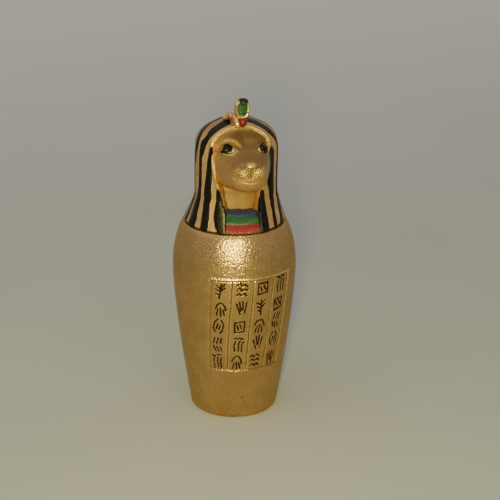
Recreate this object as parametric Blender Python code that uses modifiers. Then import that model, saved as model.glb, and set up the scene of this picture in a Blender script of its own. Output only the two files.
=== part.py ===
"""A small cast canopic jar: a hollow tapering vessel and a loose lid carved as an animal's head.

Metres, +Z up. The origin is on the vessel's axis, on the surface that it stands on. The collar of
the lid faces -Y. Lengths below are in millimetres until MM turns them into metres.
"""

import math

import bmesh
import bpy
import numpy as np
from mathutils import Matrix

MM = 0.001
GAP = 0.3  # between two pieces that rest on each other

# The vessel
JAR_HEIGHT = 85.5
BASE_RADIUS = 18.7
BELLY_RADIUS = 26.5
BELLY_HEIGHT = 64.0
RIM_RADIUS = 22.2
MOUTH_RADIUS = 18.2
WALL = 3.5
FLOOR = 4.5
LOWER_BULGE = 1.4  # powers of the two curves that meet at the belly
SHOULDER_BULGE = 2.4
FOOT_ROUND = 1.5
RIM_ROUND = 0.8
FLOOR_ROUND = 3.0
LEDGE_DROP = 1.5  # how far the mouth runs straight down below the lid's plug
LEDGE_HEIGHT = 3.5  # over this height the mouth widens to the inside of the wall

# Points along the curves of the vessel's profile, and steps round it
JAR_STEPS = 48
WALL_POINTS = 13
INSIDE_POINTS = 4
ROUND_POINTS = 4
RIM_POINTS = 3
RIM_MEETS_WALL = 15  # degrees above level at which the rim's rounding starts

# The framed panel on the vessel's front
PANEL_CENTRE = 8.4  # degrees towards +X from the front, at its top edge
PANEL_LEAN = 6.3  # degrees that it leans back towards the front by its bottom edge
PANEL_SPAN = 81.0
PANEL_BOTTOM = 24.3
PANEL_TOP = 66.9
PANEL_DEPTH = 0.35
COLUMNS = 4
LINE_WIDTH = 0.6
LINE_DEPTH = 0.3
CUTTER_LIFT = 1.5  # how far the cutting blocks stand off the wall
RECESS_COLUMNS = 15
RECESS_ROWS = 9
LINE_ROWS = 7

# The lid
LID_BOTTOM = JAR_HEIGHT + GAP
LID_RADIUS = 21.5
PLUG_RADIUS = MOUTH_RADIUS - GAP
PLUG_DEPTH = 4.0
PLUG_CHAMFER = 0.5
FACE_TURN = 4.0  # degrees that the face looks towards +X within the wig
COBRA_TURN = 2.5
EDGE_ROUND = 0.4

# The wig
FLARE_TOP = 99.0
FLARE_POWER = 1.15
WIG_HALF_WIDTH = 17.3
WIG_FORWARD = 4.0  # the head's middle is this far in front of the jar's axis
WIG_FRONT = 13.0
WIG_BACK = 16.5
DOME_BASE = 118.0
DOME_HEIGHT = 12.0
DOME_SQUARENESS = 2.4  # the power of its curve; 2 would be an ellipse

# The border round its opening: a broad roll over the brow, a thin one down the cheeks
BORDER_RAISE = 0.7
BORDER_WIDTH = 1.9
BORDER_SIDE_RAISE = 0.4
BORDER_SIDE_WIDTH = 1.0
BORDER_HEIGHTS = (119.0, 123.5)  # between these the thin roll grows into the broad one
BORDER_START = (98.0, 105.0)  # between these it rises out of the wig
BORDER_BACK = 9.0  # it fades out over the crown from this far in front of the jar's axis
BORDER_FADE = 2.0  # how much faster the distance from its edge grows behind that

# The opening of the wig, seen from the front
BROW_TOP = 128.5
BROW_ARCH = 7.5
BROW_HALF_WIDTH = 11.4
NECK_HALF_WIDTH = 7.1
COLLAR_HALF_WIDTH = 7.7
CHEEK_HEIGHTS = (92.0, 116.0)  # where the opening widens from the neck to the cheeks
CAVITY_BACK = 6.0  # it is cut back to this far in front of the jar's axis
CAVITY_FILLET = 0.4

# The face, its distances forward of the jar's axis
CHEEK_FORWARD = 12.0
CHEEK_HALF_WIDTH = 12.2
SNOUT_TIP = 28.4
SNOUT_HALF_WIDTH = 5.9
SNOUT_ROUND = 4.0
SNOUT_TOP = 117.6
SNOUT_SQUARENESS = 2.5
SNOUT_STOP = 1.7  # the power of the curve from forehead to nose
FOREHEAD_TOP = 125.5
JAW_BOTTOM = 103.4
CHIN_BOTTOM = 106.0

# Rounded forms of the face: centre, radii, squareness and the fillet that joins them to the rest;
# the brow, eye and pad are the pair's +X one
SKULL = ((0.0, -3.0, 116.5), (13.0, 12.0, 14.5), 2.6, 2.5)
BROW = ((4.8, -12.9, 123.6), (3.6, 2.4, 1.9), 2.0, 2.5)
EYE = ((7.2, -14.9, 120.6), (2.7, 2.2, 1.8), 2.0, 0.4)
NOSE = ((0.0, -26.7, 116.6), (2.5, 1.8, 1.4), 2.1, 0.5)
WHISKER_PAD = ((2.9, -26.0, 113.9), (3.1, 2.9, 2.6), 2.0, 0.8)

# The throat and the collar's three bands
THROAT_RADIUS = 11.3
THROAT_SQUARENESS = 3.0
THROAT_FORWARD = 2.0
THROAT_TOP = 106.0
THROAT_FILLET = 1.2
COLLAR_TOP = 94.5
COLLAR_BANDS = 3
COLLAR_TOP_RADIUS = 14.9
COLLAR_BOTTOM_RADIUS = 21.2
BAND_STEP = 0.35

# The cobra on the brow
HOOD_CENTRE = (0.0, -12.5, 136.5)
HOOD_RADII = (3.25, 1.9, 4.6)
BEAD_CENTRE = (0.3, -13.3, 131.2)
BEAD_RADII = (1.6, 1.6, 1.8)
COBRA_BACK_RADIUS = 1.7
COBRA_BACK_ROUTE = ((3.4, -7.3), (2.4, 0.0), (0.9, 3.2))  # behind and above the hood's centre
TAIL_POINTS = 24

# Its tail over the crown: sideways, behind the jar's axis, above the dome, and thickness as a radius
COBRA_TAIL = (
    (0.0, -9.2, 0.6, 1.2),
    (-1.5, -8.2, 1.0, 1.3),
    (-2.9, -6.3, 1.5, 1.5),
    (-3.5, -3.9, 1.7, 1.6),
    (-3.0, -1.6, 1.2, 1.4),
    (-1.5, 0.4, 0.6, 1.25),
    (0.4, 2.2, 0.4, 1.2),
    (1.2, 4.2, 0.35, 1.1),
    (0.5, 6.2, 0.3, 1.05),
    (-0.6, 8.0, 0.3, 1.0),
    (-0.9, 9.5, 0.2, 0.95),
)

# Columns and rows of the lid's surface. One column on each side is the guide: it is led along the
# edge of the opening, with its neighbour just inside that.
FRONT_COLUMNS = 40
BACK_COLUMNS = 16
FRONT_HALF_ANGLE = 75.0
GUIDE_COLUMN = 9  # counted from the front
GUIDE_LEAST = 22.0  # degrees; above the opening the guides stay this far from the front
GUIDE_MOST = 65.0
GUIDE_STEP = 1.4  # degrees from the guide to its neighbour
GUIDE_OUTSIDE = 0.12  # how far outside the opening's edge the guide runs
BROW_TILT = 50.0  # rays above the brow's base fan up to here over the face, and on to the crown
BROW_ROWS = 9
CROWN_ROWS = 5
ROW_HEIGHTS = ((COLLAR_TOP, 11), (102.5, 5), (107.0, 7), (DOME_BASE, 9))  # up to each height, so many rows


def clear_scene():
    for item in list(bpy.data.objects):
        bpy.data.objects.remove(item)


def new_collection(name):
    collection = bpy.data.collections.new(name)
    bpy.context.scene.collection.children.link(collection)
    return collection


def paint(name, colour, roughness, metallic):
    material = bpy.data.materials.new(name)
    material.use_nodes = True
    shader = material.node_tree.nodes["Principled BSDF"]
    shader.inputs["Base Color"].default_value = (*colour, 1.0)
    shader.inputs["Roughness"].default_value = roughness
    shader.inputs["Metallic"].default_value = metallic
    return material


def mesh_object(name, points, faces, collection):
    """A mesh from points in millimetres."""
    mesh = bpy.data.meshes.new(name)
    mesh.from_pydata([[c * MM for c in point] for point in points], [], faces)
    mesh.update()
    item = bpy.data.objects.new(name, mesh)
    collection.objects.link(item)
    return item


def smooth_step(value, low, high):
    t = np.clip((value - low) / (high - low), 0, 1)
    return t * t * (3 - 2 * t)


# ---------------------------------------------------------------- the vessel


def jar_radius(z):
    """The outer radius at a height: two power curves that meet, upright, at the belly."""
    if z < BELLY_HEIGHT:
        away = (BELLY_HEIGHT - z) / BELLY_HEIGHT
        return BELLY_RADIUS - (BELLY_RADIUS - BASE_RADIUS) * away**LOWER_BULGE
    away = (z - BELLY_HEIGHT) / (JAR_HEIGHT - BELLY_HEIGHT)
    return BELLY_RADIUS - (BELLY_RADIUS - RIM_RADIUS) * away**SHOULDER_BULGE


def arc(centre, radius, start, end, count):
    angles = np.radians(np.linspace(start, end, count))
    return [(centre[0] + radius * math.cos(a), centre[1] + radius * math.sin(a)) for a in angles]


def jar_profile():
    """From the middle of the inside floor, up the inside, over the rim and down the outside."""
    ledge = LID_BOTTOM - PLUG_DEPTH - LEDGE_DROP
    floor_edge = jar_radius(FLOOR) - WALL
    points = [(0.0, FLOOR)]
    points += arc((floor_edge - FLOOR_ROUND, FLOOR + FLOOR_ROUND), FLOOR_ROUND, -90, 0, ROUND_POINTS)
    for z in np.linspace(FLOOR + 2 * FLOOR_ROUND, ledge - LEDGE_HEIGHT, INSIDE_POINTS):
        points.append((jar_radius(z) - WALL, z))
    points.append((MOUTH_RADIUS, ledge))
    points.append((MOUTH_RADIUS, JAR_HEIGHT))
    rim = (RIM_RADIUS - RIM_ROUND, JAR_HEIGHT - RIM_ROUND)
    points += arc(rim, RIM_ROUND, 90, RIM_MEETS_WALL, RIM_POINTS)
    for z in np.linspace(JAR_HEIGHT - 2 * RIM_ROUND, 2 * FOOT_ROUND, WALL_POINTS):
        points.append((jar_radius(z), z))
    foot = jar_radius(FOOT_ROUND)
    points += arc((foot - FOOT_ROUND, FOOT_ROUND), FOOT_ROUND, 0, -90, ROUND_POINTS)
    points.append((0.0, 0.0))
    return points


def turned(name, profile, collection):
    """A solid turned round Z from (radius, height) points."""
    points = [(radius, 0.0, z) for radius, z in profile]
    edges = [(i, i + 1) for i in range(len(points) - 1)]
    mesh = bpy.data.meshes.new(name)
    mesh.from_pydata([[c * MM for c in point] for point in points], edges, [])
    item = bpy.data.objects.new(name, mesh)
    collection.objects.link(item)
    screw = item.modifiers.new("Turn", "SCREW")
    screw.steps = JAR_STEPS
    screw.render_steps = JAR_STEPS
    screw.use_merge_vertices = True
    screw.merge_threshold = 0.00001
    return item


def panel_point(turn, z, lift):
    """A point on the vessel's front: degrees from the panel's middle, height, distance off the surface."""
    lean = PANEL_LEAN * (PANEL_TOP - z) / (PANEL_TOP - PANEL_BOTTOM)
    angle = math.radians(PANEL_CENTRE - lean + turn)
    radius = jar_radius(z) + lift
    return (radius * math.sin(angle), -radius * math.cos(angle), z)


def wall_block(turns, heights, depth):
    """Points and faces of a block that follows the vessel's wall from below its surface to above it."""
    across, up = len(turns), len(heights)
    points = [panel_point(t, z, side) for side in (-depth, CUTTER_LIFT) for z in heights for t in turns]

    def index(side, row, column):
        return (side * up + row) * across + column

    faces = []
    for row in range(up - 1):
        for column in range(across - 1):
            corners = ((row, column), (row, column + 1), (row + 1, column + 1), (row + 1, column))
            faces.append([index(1, *c) for c in corners])
            faces.append([index(0, *c) for c in reversed(corners)])
    rim = [(0, c) for c in range(across)] + [(r, across - 1) for r in range(1, up)]
    rim += [(up - 1, c) for c in range(across - 2, -1, -1)] + [(r, 0) for r in range(up - 2, 0, -1)]
    for here, there in zip(rim, rim[1:] + rim[:1]):
        faces.append([index(0, *here), index(0, *there), index(1, *there), index(1, *here)])
    return points, faces


def join_blocks(name, blocks, collection):
    """Blocks that don't touch, as one mesh."""
    points, faces = [], []
    for block_points, block_faces in blocks:
        first = len(points)
        points += block_points
        faces += [[first + i for i in face] for face in block_faces]
    item = mesh_object(name, points, faces, collection)
    item.hide_render = True
    item.display_type = "WIRE"
    return item


def cut(item, cutter, operation="DIFFERENCE"):
    modifier = item.modifiers.new(cutter.name, "BOOLEAN")
    modifier.operation = operation
    modifier.object = cutter


def make_jar(parts, cutters):
    jar = turned("jar", jar_profile(), parts)
    half = PANEL_SPAN / 2
    heights = np.linspace(PANEL_BOTTOM, PANEL_TOP, RECESS_ROWS)
    recess = wall_block(np.linspace(-half, half, RECESS_COLUMNS), heights, PANEL_DEPTH)
    cut(jar, join_blocks("panel_recess", [recess], cutters))
    lines = []
    for column in range(1, COLUMNS):
        middle = -half + PANEL_SPAN * column / COLUMNS
        width = math.degrees(LINE_WIDTH / BELLY_RADIUS) / 2
        span = np.linspace(PANEL_BOTTOM + LINE_WIDTH, PANEL_TOP - LINE_WIDTH, LINE_ROWS)
        lines.append(wall_block([middle - width, middle + width], span, PANEL_DEPTH + LINE_DEPTH))
    cut(jar, join_blocks("panel_lines", lines, cutters))
    return jar


# ---------------------------------------------------------------- the lid's carved forms
# Each form gives, for points (x, y, z), a distance that is negative inside it.


def rounded_form(p, centre, radii, power):
    """An ellipsoid; a power above 2 squares its sides."""
    reach = np.abs((p - np.array(centre)) / np.array(radii))
    return ((reach**power).sum(-1) ** (1 / power) - 1) * min(radii)


def mirrored(p):
    """Points folded onto the +X side, so that one form stands for a pair."""
    folded = p.copy()
    folded[..., 0] = np.abs(folded[..., 0])
    return folded


def merge(first, second, width):
    """The union of two forms with a fillet."""
    share = np.clip(0.5 + 0.5 * (second - first) / width, 0, 1)
    return second + (first - second) * share - width * share * (1 - share)


def with_form(face, p, centre, radii, power, fillet):
    return merge(face, rounded_form(p, centre, radii, power), fillet)


def turned_back(p, degrees):
    """Points turned about Z, so that a form met there is turned by this much towards +X."""
    cosine, sine = math.cos(math.radians(degrees)), math.sin(math.radians(degrees))
    x, y = p[..., 0], p[..., 1]
    return np.stack([x * cosine + y * sine, y * cosine - x * sine, p[..., 2]], -1)


def wig_form(p):
    """The wig's outside: upright below, flaring to the lid's edge, and domed above."""
    x, y, z = p[..., 0], p[..., 1], p[..., 2]
    flare = np.clip((FLARE_TOP - z) / (FLARE_TOP - LID_BOTTOM), 0, 1) ** FLARE_POWER
    forward = WIG_FORWARD * (1 - flare)
    half_width = WIG_HALF_WIDTH + (LID_RADIUS - WIG_HALF_WIDTH) * flare
    front = WIG_FRONT + (LID_RADIUS - WIG_FRONT) * flare
    back = WIG_BACK + (LID_RADIUS - WIG_BACK) * flare
    depth = np.where(-y > forward, front, back)
    rise = np.clip(z - DOME_BASE, 0, None) / DOME_HEIGHT
    around = np.hypot(x / half_width, (y + forward) / depth)
    level = (around**DOME_SQUARENESS + rise**DOME_SQUARENESS) ** (1 / DOME_SQUARENESS)
    return (level - 1) * WIG_FRONT


def opening_edge(p):
    """Distance to the edge of the wig's opening, seen from the front; negative inside it."""
    x, z = np.abs(p[..., 0]), p[..., 2]
    half_width = NECK_HALF_WIDTH + (BROW_HALF_WIDTH - NECK_HALF_WIDTH) * smooth_step(z, *CHEEK_HEIGHTS)
    below = np.clip((CHEEK_HEIGHTS[0] - z) / (CHEEK_HEIGHTS[0] - LID_BOTTOM), 0, 1)
    half_width = half_width + (COLLAR_HALF_WIDTH - NECK_HALF_WIDTH) * below
    rise = np.clip((z - BROW_TOP) / BROW_ARCH + 1, 0, None)
    level = np.hypot(x / half_width, rise)
    slope = np.hypot(x / half_width**2, rise / BROW_ARCH) / np.maximum(level, 0.01)
    return (level - 1) / np.maximum(slope, 1 / half_width)


def border_raise(p):
    """How far the border stands off the wig, by the distance from the opening's edge."""
    edge = opening_edge(p) + BORDER_FADE * np.clip(p[..., 1] + BORDER_BACK, 0, None)
    brow = smooth_step(p[..., 2], *BORDER_HEIGHTS)
    width = BORDER_SIDE_WIDTH + (BORDER_WIDTH - BORDER_SIDE_WIDTH) * brow
    amount = BORDER_SIDE_RAISE + (BORDER_RAISE - BORDER_SIDE_RAISE) * brow
    roll = amount * np.exp(-((2 * edge / width - 1) ** 2))
    return roll * smooth_step(p[..., 2], *BORDER_START)


def snout_form(p):
    """The face from cheeks to nose: a squared tube along Y that narrows and slopes down to its tip."""
    x, z = np.abs(p[..., 0]), p[..., 2]
    forward = -p[..., 1]
    along = np.clip((forward - CHEEK_FORWARD) / (SNOUT_TIP - CHEEK_FORWARD), -0.1, 1.0)
    half_width = CHEEK_HALF_WIDTH + (SNOUT_HALF_WIDTH - CHEEK_HALF_WIDTH) * along
    top = SNOUT_TOP + (FOREHEAD_TOP - SNOUT_TOP) * (1 - along) ** SNOUT_STOP
    bottom = JAW_BOTTOM + (CHIN_BOTTOM - JAW_BOTTOM) * np.clip(along, 0, 1) ** 2
    middle, half_height = (top + bottom) / 2, (top - bottom) / 2
    power = SNOUT_SQUARENESS
    level = ((x / half_width) ** power + np.abs((z - middle) / half_height) ** power) ** (1 / power)
    rounding = np.clip((forward - SNOUT_TIP + SNOUT_ROUND) / SNOUT_ROUND, 0, None)
    shape = (np.sqrt(level**2 + rounding**2) - 1) * half_width
    return np.maximum(shape, WIG_FORWARD - forward)


def face_form(p):
    """Skull, snout, nose, whisker pads, brows and eyes, as one surface."""
    pair = mirrored(p)
    face = with_form(snout_form(p), p, *SKULL)
    face = with_form(face, pair, *BROW)
    face = with_form(face, pair, *WHISKER_PAD)
    face = with_form(face, p, *NOSE)
    return with_form(face, pair, *EYE)


def neck_form(p):
    """The throat and, below it, the collar in three steps."""
    power = THROAT_SQUARENESS
    across = (np.abs(p[..., 0]) ** power + np.abs(p[..., 1] + THROAT_FORWARD) ** power) ** (1 / power)
    throat = np.maximum(across - THROAT_RADIUS, p[..., 2] - THROAT_TOP)
    height = COLLAR_TOP - LID_BOTTOM
    band = np.clip((COLLAR_TOP - p[..., 2]) / height * COLLAR_BANDS, 0, COLLAR_BANDS)
    slope = COLLAR_TOP_RADIUS + (COLLAR_BOTTOM_RADIUS - COLLAR_TOP_RADIUS) * band / COLLAR_BANDS
    tread = BAND_STEP * (1 - 2 * np.abs(band % 1 - 0.5)) * (band < COLLAR_BANDS)
    collar = np.hypot(p[..., 0], p[..., 1]) - slope - tread
    return np.where(p[..., 2] < COLLAR_TOP, np.minimum(collar, throat), throat)


def head_form(p):
    """The whole carved lid above its edge."""
    wig = wig_form(p) - border_raise(p)
    cavity = np.maximum(opening_edge(p), p[..., 1] + CAVITY_BACK)
    hollowed = np.maximum(wig, -cavity)
    inside = merge(face_form(turned_back(p, FACE_TURN)), neck_form(p), THROAT_FILLET)
    return merge(hollowed, inside, CAVITY_FILLET)


# ---------------------------------------------------------------- the lid's surface


def outermost(form, origins, directions, reach=34.0, samples=160, halvings=12):
    """Where rays coming in from outside first meet a form, as distances from their origins."""
    steps = np.linspace(reach, 1.0, samples)
    inside = np.array([form(origins + directions * s) < 0 for s in steps])
    first = inside.argmax(0)
    near = steps[first]
    far = steps[np.maximum(first - 1, 0)]
    for _ in range(halvings):
        middle = (near + far) / 2
        hit = form(origins + directions * middle[..., None]) < 0
        near = np.where(hit, middle, near)
        far = np.where(hit, far, middle)
    return near


def column_angles():
    """Directions round the lid in degrees from the front, closer together over the face."""
    front = np.linspace(-FRONT_HALF_ANGLE, FRONT_HALF_ANGLE, FRONT_COLUMNS + 1)
    back = np.linspace(FRONT_HALF_ANGLE, 360 - FRONT_HALF_ANGLE, BACK_COLUMNS + 1)
    return np.concatenate([front, back[1:-1]])


def row_rays():
    """The height and upward tilt of each row of rays, from the lid's edge to the crown."""
    heights = [LID_BOTTOM + EDGE_ROUND]
    for top, count in ROW_HEIGHTS:
        heights += list(np.linspace(heights[-1], top, count + 1)[1:])
    rows = [(z, 0.0) for z in heights]
    tilts = list(np.linspace(0, BROW_TILT, BROW_ROWS + 1)[1:])
    tilts += list(np.linspace(BROW_TILT, 90, CROWN_ROWS + 1)[1:-1])
    return np.array(rows + [(DOME_BASE, math.radians(tilt)) for tilt in tilts])


def ray_grid(rows, angles):
    """Origins and directions of rays, from the height and tilt of each row and its columns' directions."""
    height, tilt = rows[:, :1], rows[:, 1:]
    turn = np.radians(angles)
    origins = np.zeros((*angles.shape, 3))
    origins[..., 1] = -WIG_FORWARD * smooth_step(height, LID_BOTTOM, THROAT_TOP)
    origins[..., 2] = height
    level = [np.sin(turn) * np.cos(tilt), -np.cos(turn) * np.cos(tilt)]
    return origins, np.stack([*level, np.broadcast_to(np.sin(tilt), angles.shape)], -1)


def carved(form, rows, angles):
    """Where the rays of each row and column meet a form."""
    origins, directions = ray_grid(rows, angles)
    return origins + directions * outermost(form, origins, directions)[..., None]


def led_columns(rows):
    """The columns' directions in each row, with the guides led along the edge of the opening."""
    search = np.broadcast_to(np.linspace(0, GUIDE_MOST, 66), (len(rows), 66))
    edges = opening_edge(carved(wig_form, rows, search))
    plain = (column_angles() + 180) % 360 - 180
    column = 2 * FRONT_HALF_ANGLE / FRONT_COLUMNS
    guides = (0, column * (GUIDE_COLUMN - 1), column * GUIDE_COLUMN, 180)
    led = []
    for angles, edge in zip(search, edges):
        found = max(np.interp(GUIDE_OUTSIDE, edge, angles), GUIDE_LEAST)
        led.append(np.sign(plain) * np.interp(np.abs(plain), guides, (0, found - GUIDE_STEP, found, 180)))
    return np.array(led)


def ring(radius, z, angles):
    turn = np.radians(angles)
    return np.stack([radius * np.sin(turn), -radius * np.cos(turn), np.full(len(turn), z)], -1)


def head_loft(name, collection):
    """The plug, the lid's flat underside and the carved head, as one closed skin of rings."""
    rows = row_rays()
    angles = led_columns(rows)
    plug_bottom = LID_BOTTOM - PLUG_DEPTH
    profile = ((PLUG_RADIUS - PLUG_CHAMFER, plug_bottom), (PLUG_RADIUS, plug_bottom + PLUG_CHAMFER))
    profile += ((PLUG_RADIUS, LID_BOTTOM), (LID_RADIUS - EDGE_ROUND, LID_BOTTOM))
    rings = [ring(radius, z, angles[0]) for radius, z in profile]
    rings += list(carved(head_form, rows, angles))
    count = len(rings[0])
    crown = rings[-1].mean(0)
    crown[2] = DOME_BASE + DOME_HEIGHT
    points = [(0, 0, plug_bottom)] + [tuple(p) for r in rings for p in r] + [tuple(crown)]
    faces = []
    for column in range(count):
        after = (column + 1) % count
        faces.append([0, 1 + after, 1 + column])
        for row in range(len(rings) - 1):
            low, high = 1 + row * count, 1 + (row + 1) * count
            faces.append([low + column, low + after, high + after, high + column])
        last = 1 + (len(rings) - 1) * count
        faces.append([last + column, last + after, len(points) - 1])
    return mesh_object(name, points, faces, collection)


def ball(name, centre, radii, collection, segments=12, rings=8):
    """An ellipsoid."""
    mesh = bpy.data.meshes.new(name)
    shape = bmesh.new()
    bmesh.ops.create_uvsphere(shape, u_segments=segments, v_segments=rings, radius=1.0)
    for vertex in shape.verts:
        vertex.co = [MM * (c + r * v) for c, r, v in zip(centre, radii, vertex.co)]
    shape.to_mesh(mesh)
    shape.free()
    item = bpy.data.objects.new(name, mesh)
    collection.objects.link(item)
    return item


def tube(name, route, radii, collection):
    """A bar of changing radius along a route, as a closed mesh."""
    curve = bpy.data.curves.new(name, "CURVE")
    curve.dimensions = "3D"
    curve.bevel_depth = MM
    curve.bevel_resolution = 2
    curve.use_fill_caps = True
    spline = curve.splines.new("POLY")
    spline.points.add(len(route) - 1)
    for point, place, radius in zip(spline.points, route, radii):
        point.co = [c * MM for c in place] + [1.0]
        point.radius = radius
    guide = bpy.data.objects.new(name + "_route", curve)
    bpy.context.scene.collection.objects.link(guide)
    mesh = bpy.data.meshes.new_from_object(guide.evaluated_get(bpy.context.evaluated_depsgraph_get()))
    shape = bmesh.new()
    shape.from_mesh(mesh)
    bmesh.ops.remove_doubles(shape, verts=shape.verts, dist=0.00001)
    bmesh.ops.recalc_face_normals(shape, faces=shape.faces)
    shape.to_mesh(mesh)
    shape.free()
    bpy.data.objects.remove(guide)
    item = bpy.data.objects.new(name, mesh)
    collection.objects.link(item)
    return item


def smooth_route(points, count):
    """Places along a smooth curve through points."""
    points = np.array(points)
    ends = np.concatenate([[2 * points[0] - points[1]], points, [2 * points[-1] - points[-2]]])
    places = []
    for t in np.linspace(0, len(points) - 1, count):
        first = min(int(t), len(points) - 2)
        a, b, c, d = ends[first : first + 4]
        s = t - first
        curved = (2 * a - 5 * b + 4 * c - d) * s**2 + (3 * b - a - 3 * c + d) * s**3
        places.append(b + ((c - a) * s + curved) / 2)
    return np.array(places)


def dome_height(x, y):
    """The height of the wig's dome over a place."""
    depth = np.where(-y > WIG_FORWARD, WIG_FRONT, WIG_BACK)
    around = np.hypot(x / WIG_HALF_WIDTH, (y + WIG_FORWARD) / depth)
    return DOME_BASE + DOME_HEIGHT * (1 - around**DOME_SQUARENESS) ** (1 / DOME_SQUARENESS)


def cobra_pieces(collection):
    """The raised hood, the bead below it, the thick back and the tail along the crown."""
    _, hood_y, hood_z = HOOD_CENTRE
    yield ball("cobra_hood", HOOD_CENTRE, HOOD_RADII, collection)
    yield ball("cobra_bead", BEAD_CENTRE, BEAD_RADII, collection)
    back = [(0, hood_y + behind, hood_z + above) for behind, above in COBRA_BACK_ROUTE]
    yield tube("cobra_back", back, [COBRA_BACK_RADIUS] * len(back), collection)
    x, y, above, radii = smooth_route(COBRA_TAIL, TAIL_POINTS).T
    yield tube("cobra_tail", np.stack([x, y, dome_height(x, y) + above], -1), radii, collection)


def make_head_lid(parts, cutters):
    lid = head_loft("head_lid", parts)
    turn = Matrix.Rotation(math.radians(COBRA_TURN), 4, "Z")
    for piece in cobra_pieces(cutters):
        piece.matrix_world = turn
        piece.hide_render = True
        piece.display_type = "WIRE"
        cut(lid, piece, "UNION")
    return lid


def main():
    clear_scene()
    parts = new_collection("canopic_jar")
    cutters = new_collection("cutters")
    gold = paint("gold_paint", (0.42, 0.27, 0.09), 0.38, 0.75)
    black_and_gold = paint("wig_paint", (0.30, 0.20, 0.08), 0.35, 0.4)
    pieces = ((make_jar(parts, cutters), gold), (make_head_lid(parts, cutters), black_and_gold))
    for item, material in pieces:
        item.data.materials.append(material)
        item.data.shade_smooth()


main()
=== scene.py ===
"""The looks of a small painted cast canopic jar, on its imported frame.

Metres, +Z up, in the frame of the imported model: the vessel stands on the origin and the lid's collar
faces -Y. Lengths below are in millimetres until MM turns them into metres.
"""

import math
import random

import bmesh
import bpy
import numpy as np
from mathutils import Matrix, Vector


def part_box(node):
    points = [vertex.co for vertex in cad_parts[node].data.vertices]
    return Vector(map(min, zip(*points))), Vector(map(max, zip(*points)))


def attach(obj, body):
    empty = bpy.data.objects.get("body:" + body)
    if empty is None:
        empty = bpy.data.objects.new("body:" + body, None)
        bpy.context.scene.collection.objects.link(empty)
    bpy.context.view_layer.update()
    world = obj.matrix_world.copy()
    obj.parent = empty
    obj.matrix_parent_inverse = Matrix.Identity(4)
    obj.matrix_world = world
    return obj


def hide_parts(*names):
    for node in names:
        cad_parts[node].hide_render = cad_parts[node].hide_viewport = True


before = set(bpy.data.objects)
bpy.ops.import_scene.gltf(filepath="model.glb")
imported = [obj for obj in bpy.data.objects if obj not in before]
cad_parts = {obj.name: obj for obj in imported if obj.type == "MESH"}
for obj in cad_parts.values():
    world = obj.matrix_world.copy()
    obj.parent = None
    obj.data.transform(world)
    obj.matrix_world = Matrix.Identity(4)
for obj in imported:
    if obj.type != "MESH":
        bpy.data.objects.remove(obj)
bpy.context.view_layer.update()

MM = 0.001
GAP = 0.3  # between the lid and the vessel

# The vessel
JAR_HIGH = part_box("jar")[1] / MM
JAR_HEIGHT = JAR_HIGH.z
BASE_RADIUS = 18.7
BELLY_RADIUS = JAR_HIGH.x
BELLY_HEIGHT = 64.0
RIM_RADIUS = 22.2
MOUTH_RADIUS = 18.2
MOUTH_CHAMFER = 0.3
WALL = 3.5
FLOOR = 4.5
LOWER_BULGE = 1.4
SHOULDER_BULGE = 2.4
FOOT_ROUND = 1.5
RIM_ROUND = 0.8
FLOOR_ROUND = 3.0

# The framed panel on the vessel's front
PANEL_CENTRE = 8.4
PANEL_LEAN = 6.3
PANEL_SPAN = 81.0
PANEL_BOTTOM = 24.3
PANEL_TOP = 66.9
PANEL_DEPTH = 0.35
PANEL_WANDER = 0.12
PANEL_LIP = (-0.55, 0.42)  # how far inside the panel's edge it is, and its width
FRAME_LINE = (0.35, 0.24)
FOOT_LINE = (0.05, 0.25)
COLUMNS = 4
MARKS_PER_COLUMN = 5
LINE_HALF_WIDTH = 0.3472
LINE_DEPTH = 0.25

# The lid
LID_BOTTOM = JAR_HEIGHT + GAP
LID_RADIUS = 21.5
PLUG_RADIUS = MOUTH_RADIUS - GAP
PLUG_DEPTH = 4.0
PLUG_CHAMFER = 0.5
SEAT_BOTTOM = LID_BOTTOM - PLUG_DEPTH - 1.5  # where the mouth's upright side ends and slopes outward
SEAT_SLOPE = 3.5
FACE_TURN = 4.0
COBRA_TURN = 2.5
EDGE_ROUND = 0.4
HEM = 0.75  # the black line along the wig's lower edge

# The wig
FLARE_TOP = 99.0
FLARE_POWER = 1.15
WIG_HALF_WIDTH = 17.3
WIG_FORWARD = 4.0
WIG_FRONT = 13.0
WIG_BACK = 16.5
DOME_BASE = 118.0
DOME_HEIGHT = 12.0
DOME_SQUARENESS = 2.4

# The border round its opening
BORDER_RAISE = 0.7
BORDER_WIDTH = 1.9
BORDER_SIDE_RAISE = 0.4
BORDER_SIDE_WIDTH = 1.0
BORDER_HEIGHTS = (119.0, 123.5)
BORDER_START = (98.0, 105.0)
BORDER_BACK = 9.0
BORDER_FADE = 2.0

# The opening of the wig, seen from the front
BROW_TOP = 128.5
BROW_ARCH = 7.5
BROW_HALF_WIDTH = 11.4
NECK_HALF_WIDTH = 7.1
COLLAR_HALF_WIDTH = 7.7
CHEEK_HEIGHTS = (92.0, 116.0)
CAVITY_BACK = 6.0
CAVITY_FILLET = 0.9

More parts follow.
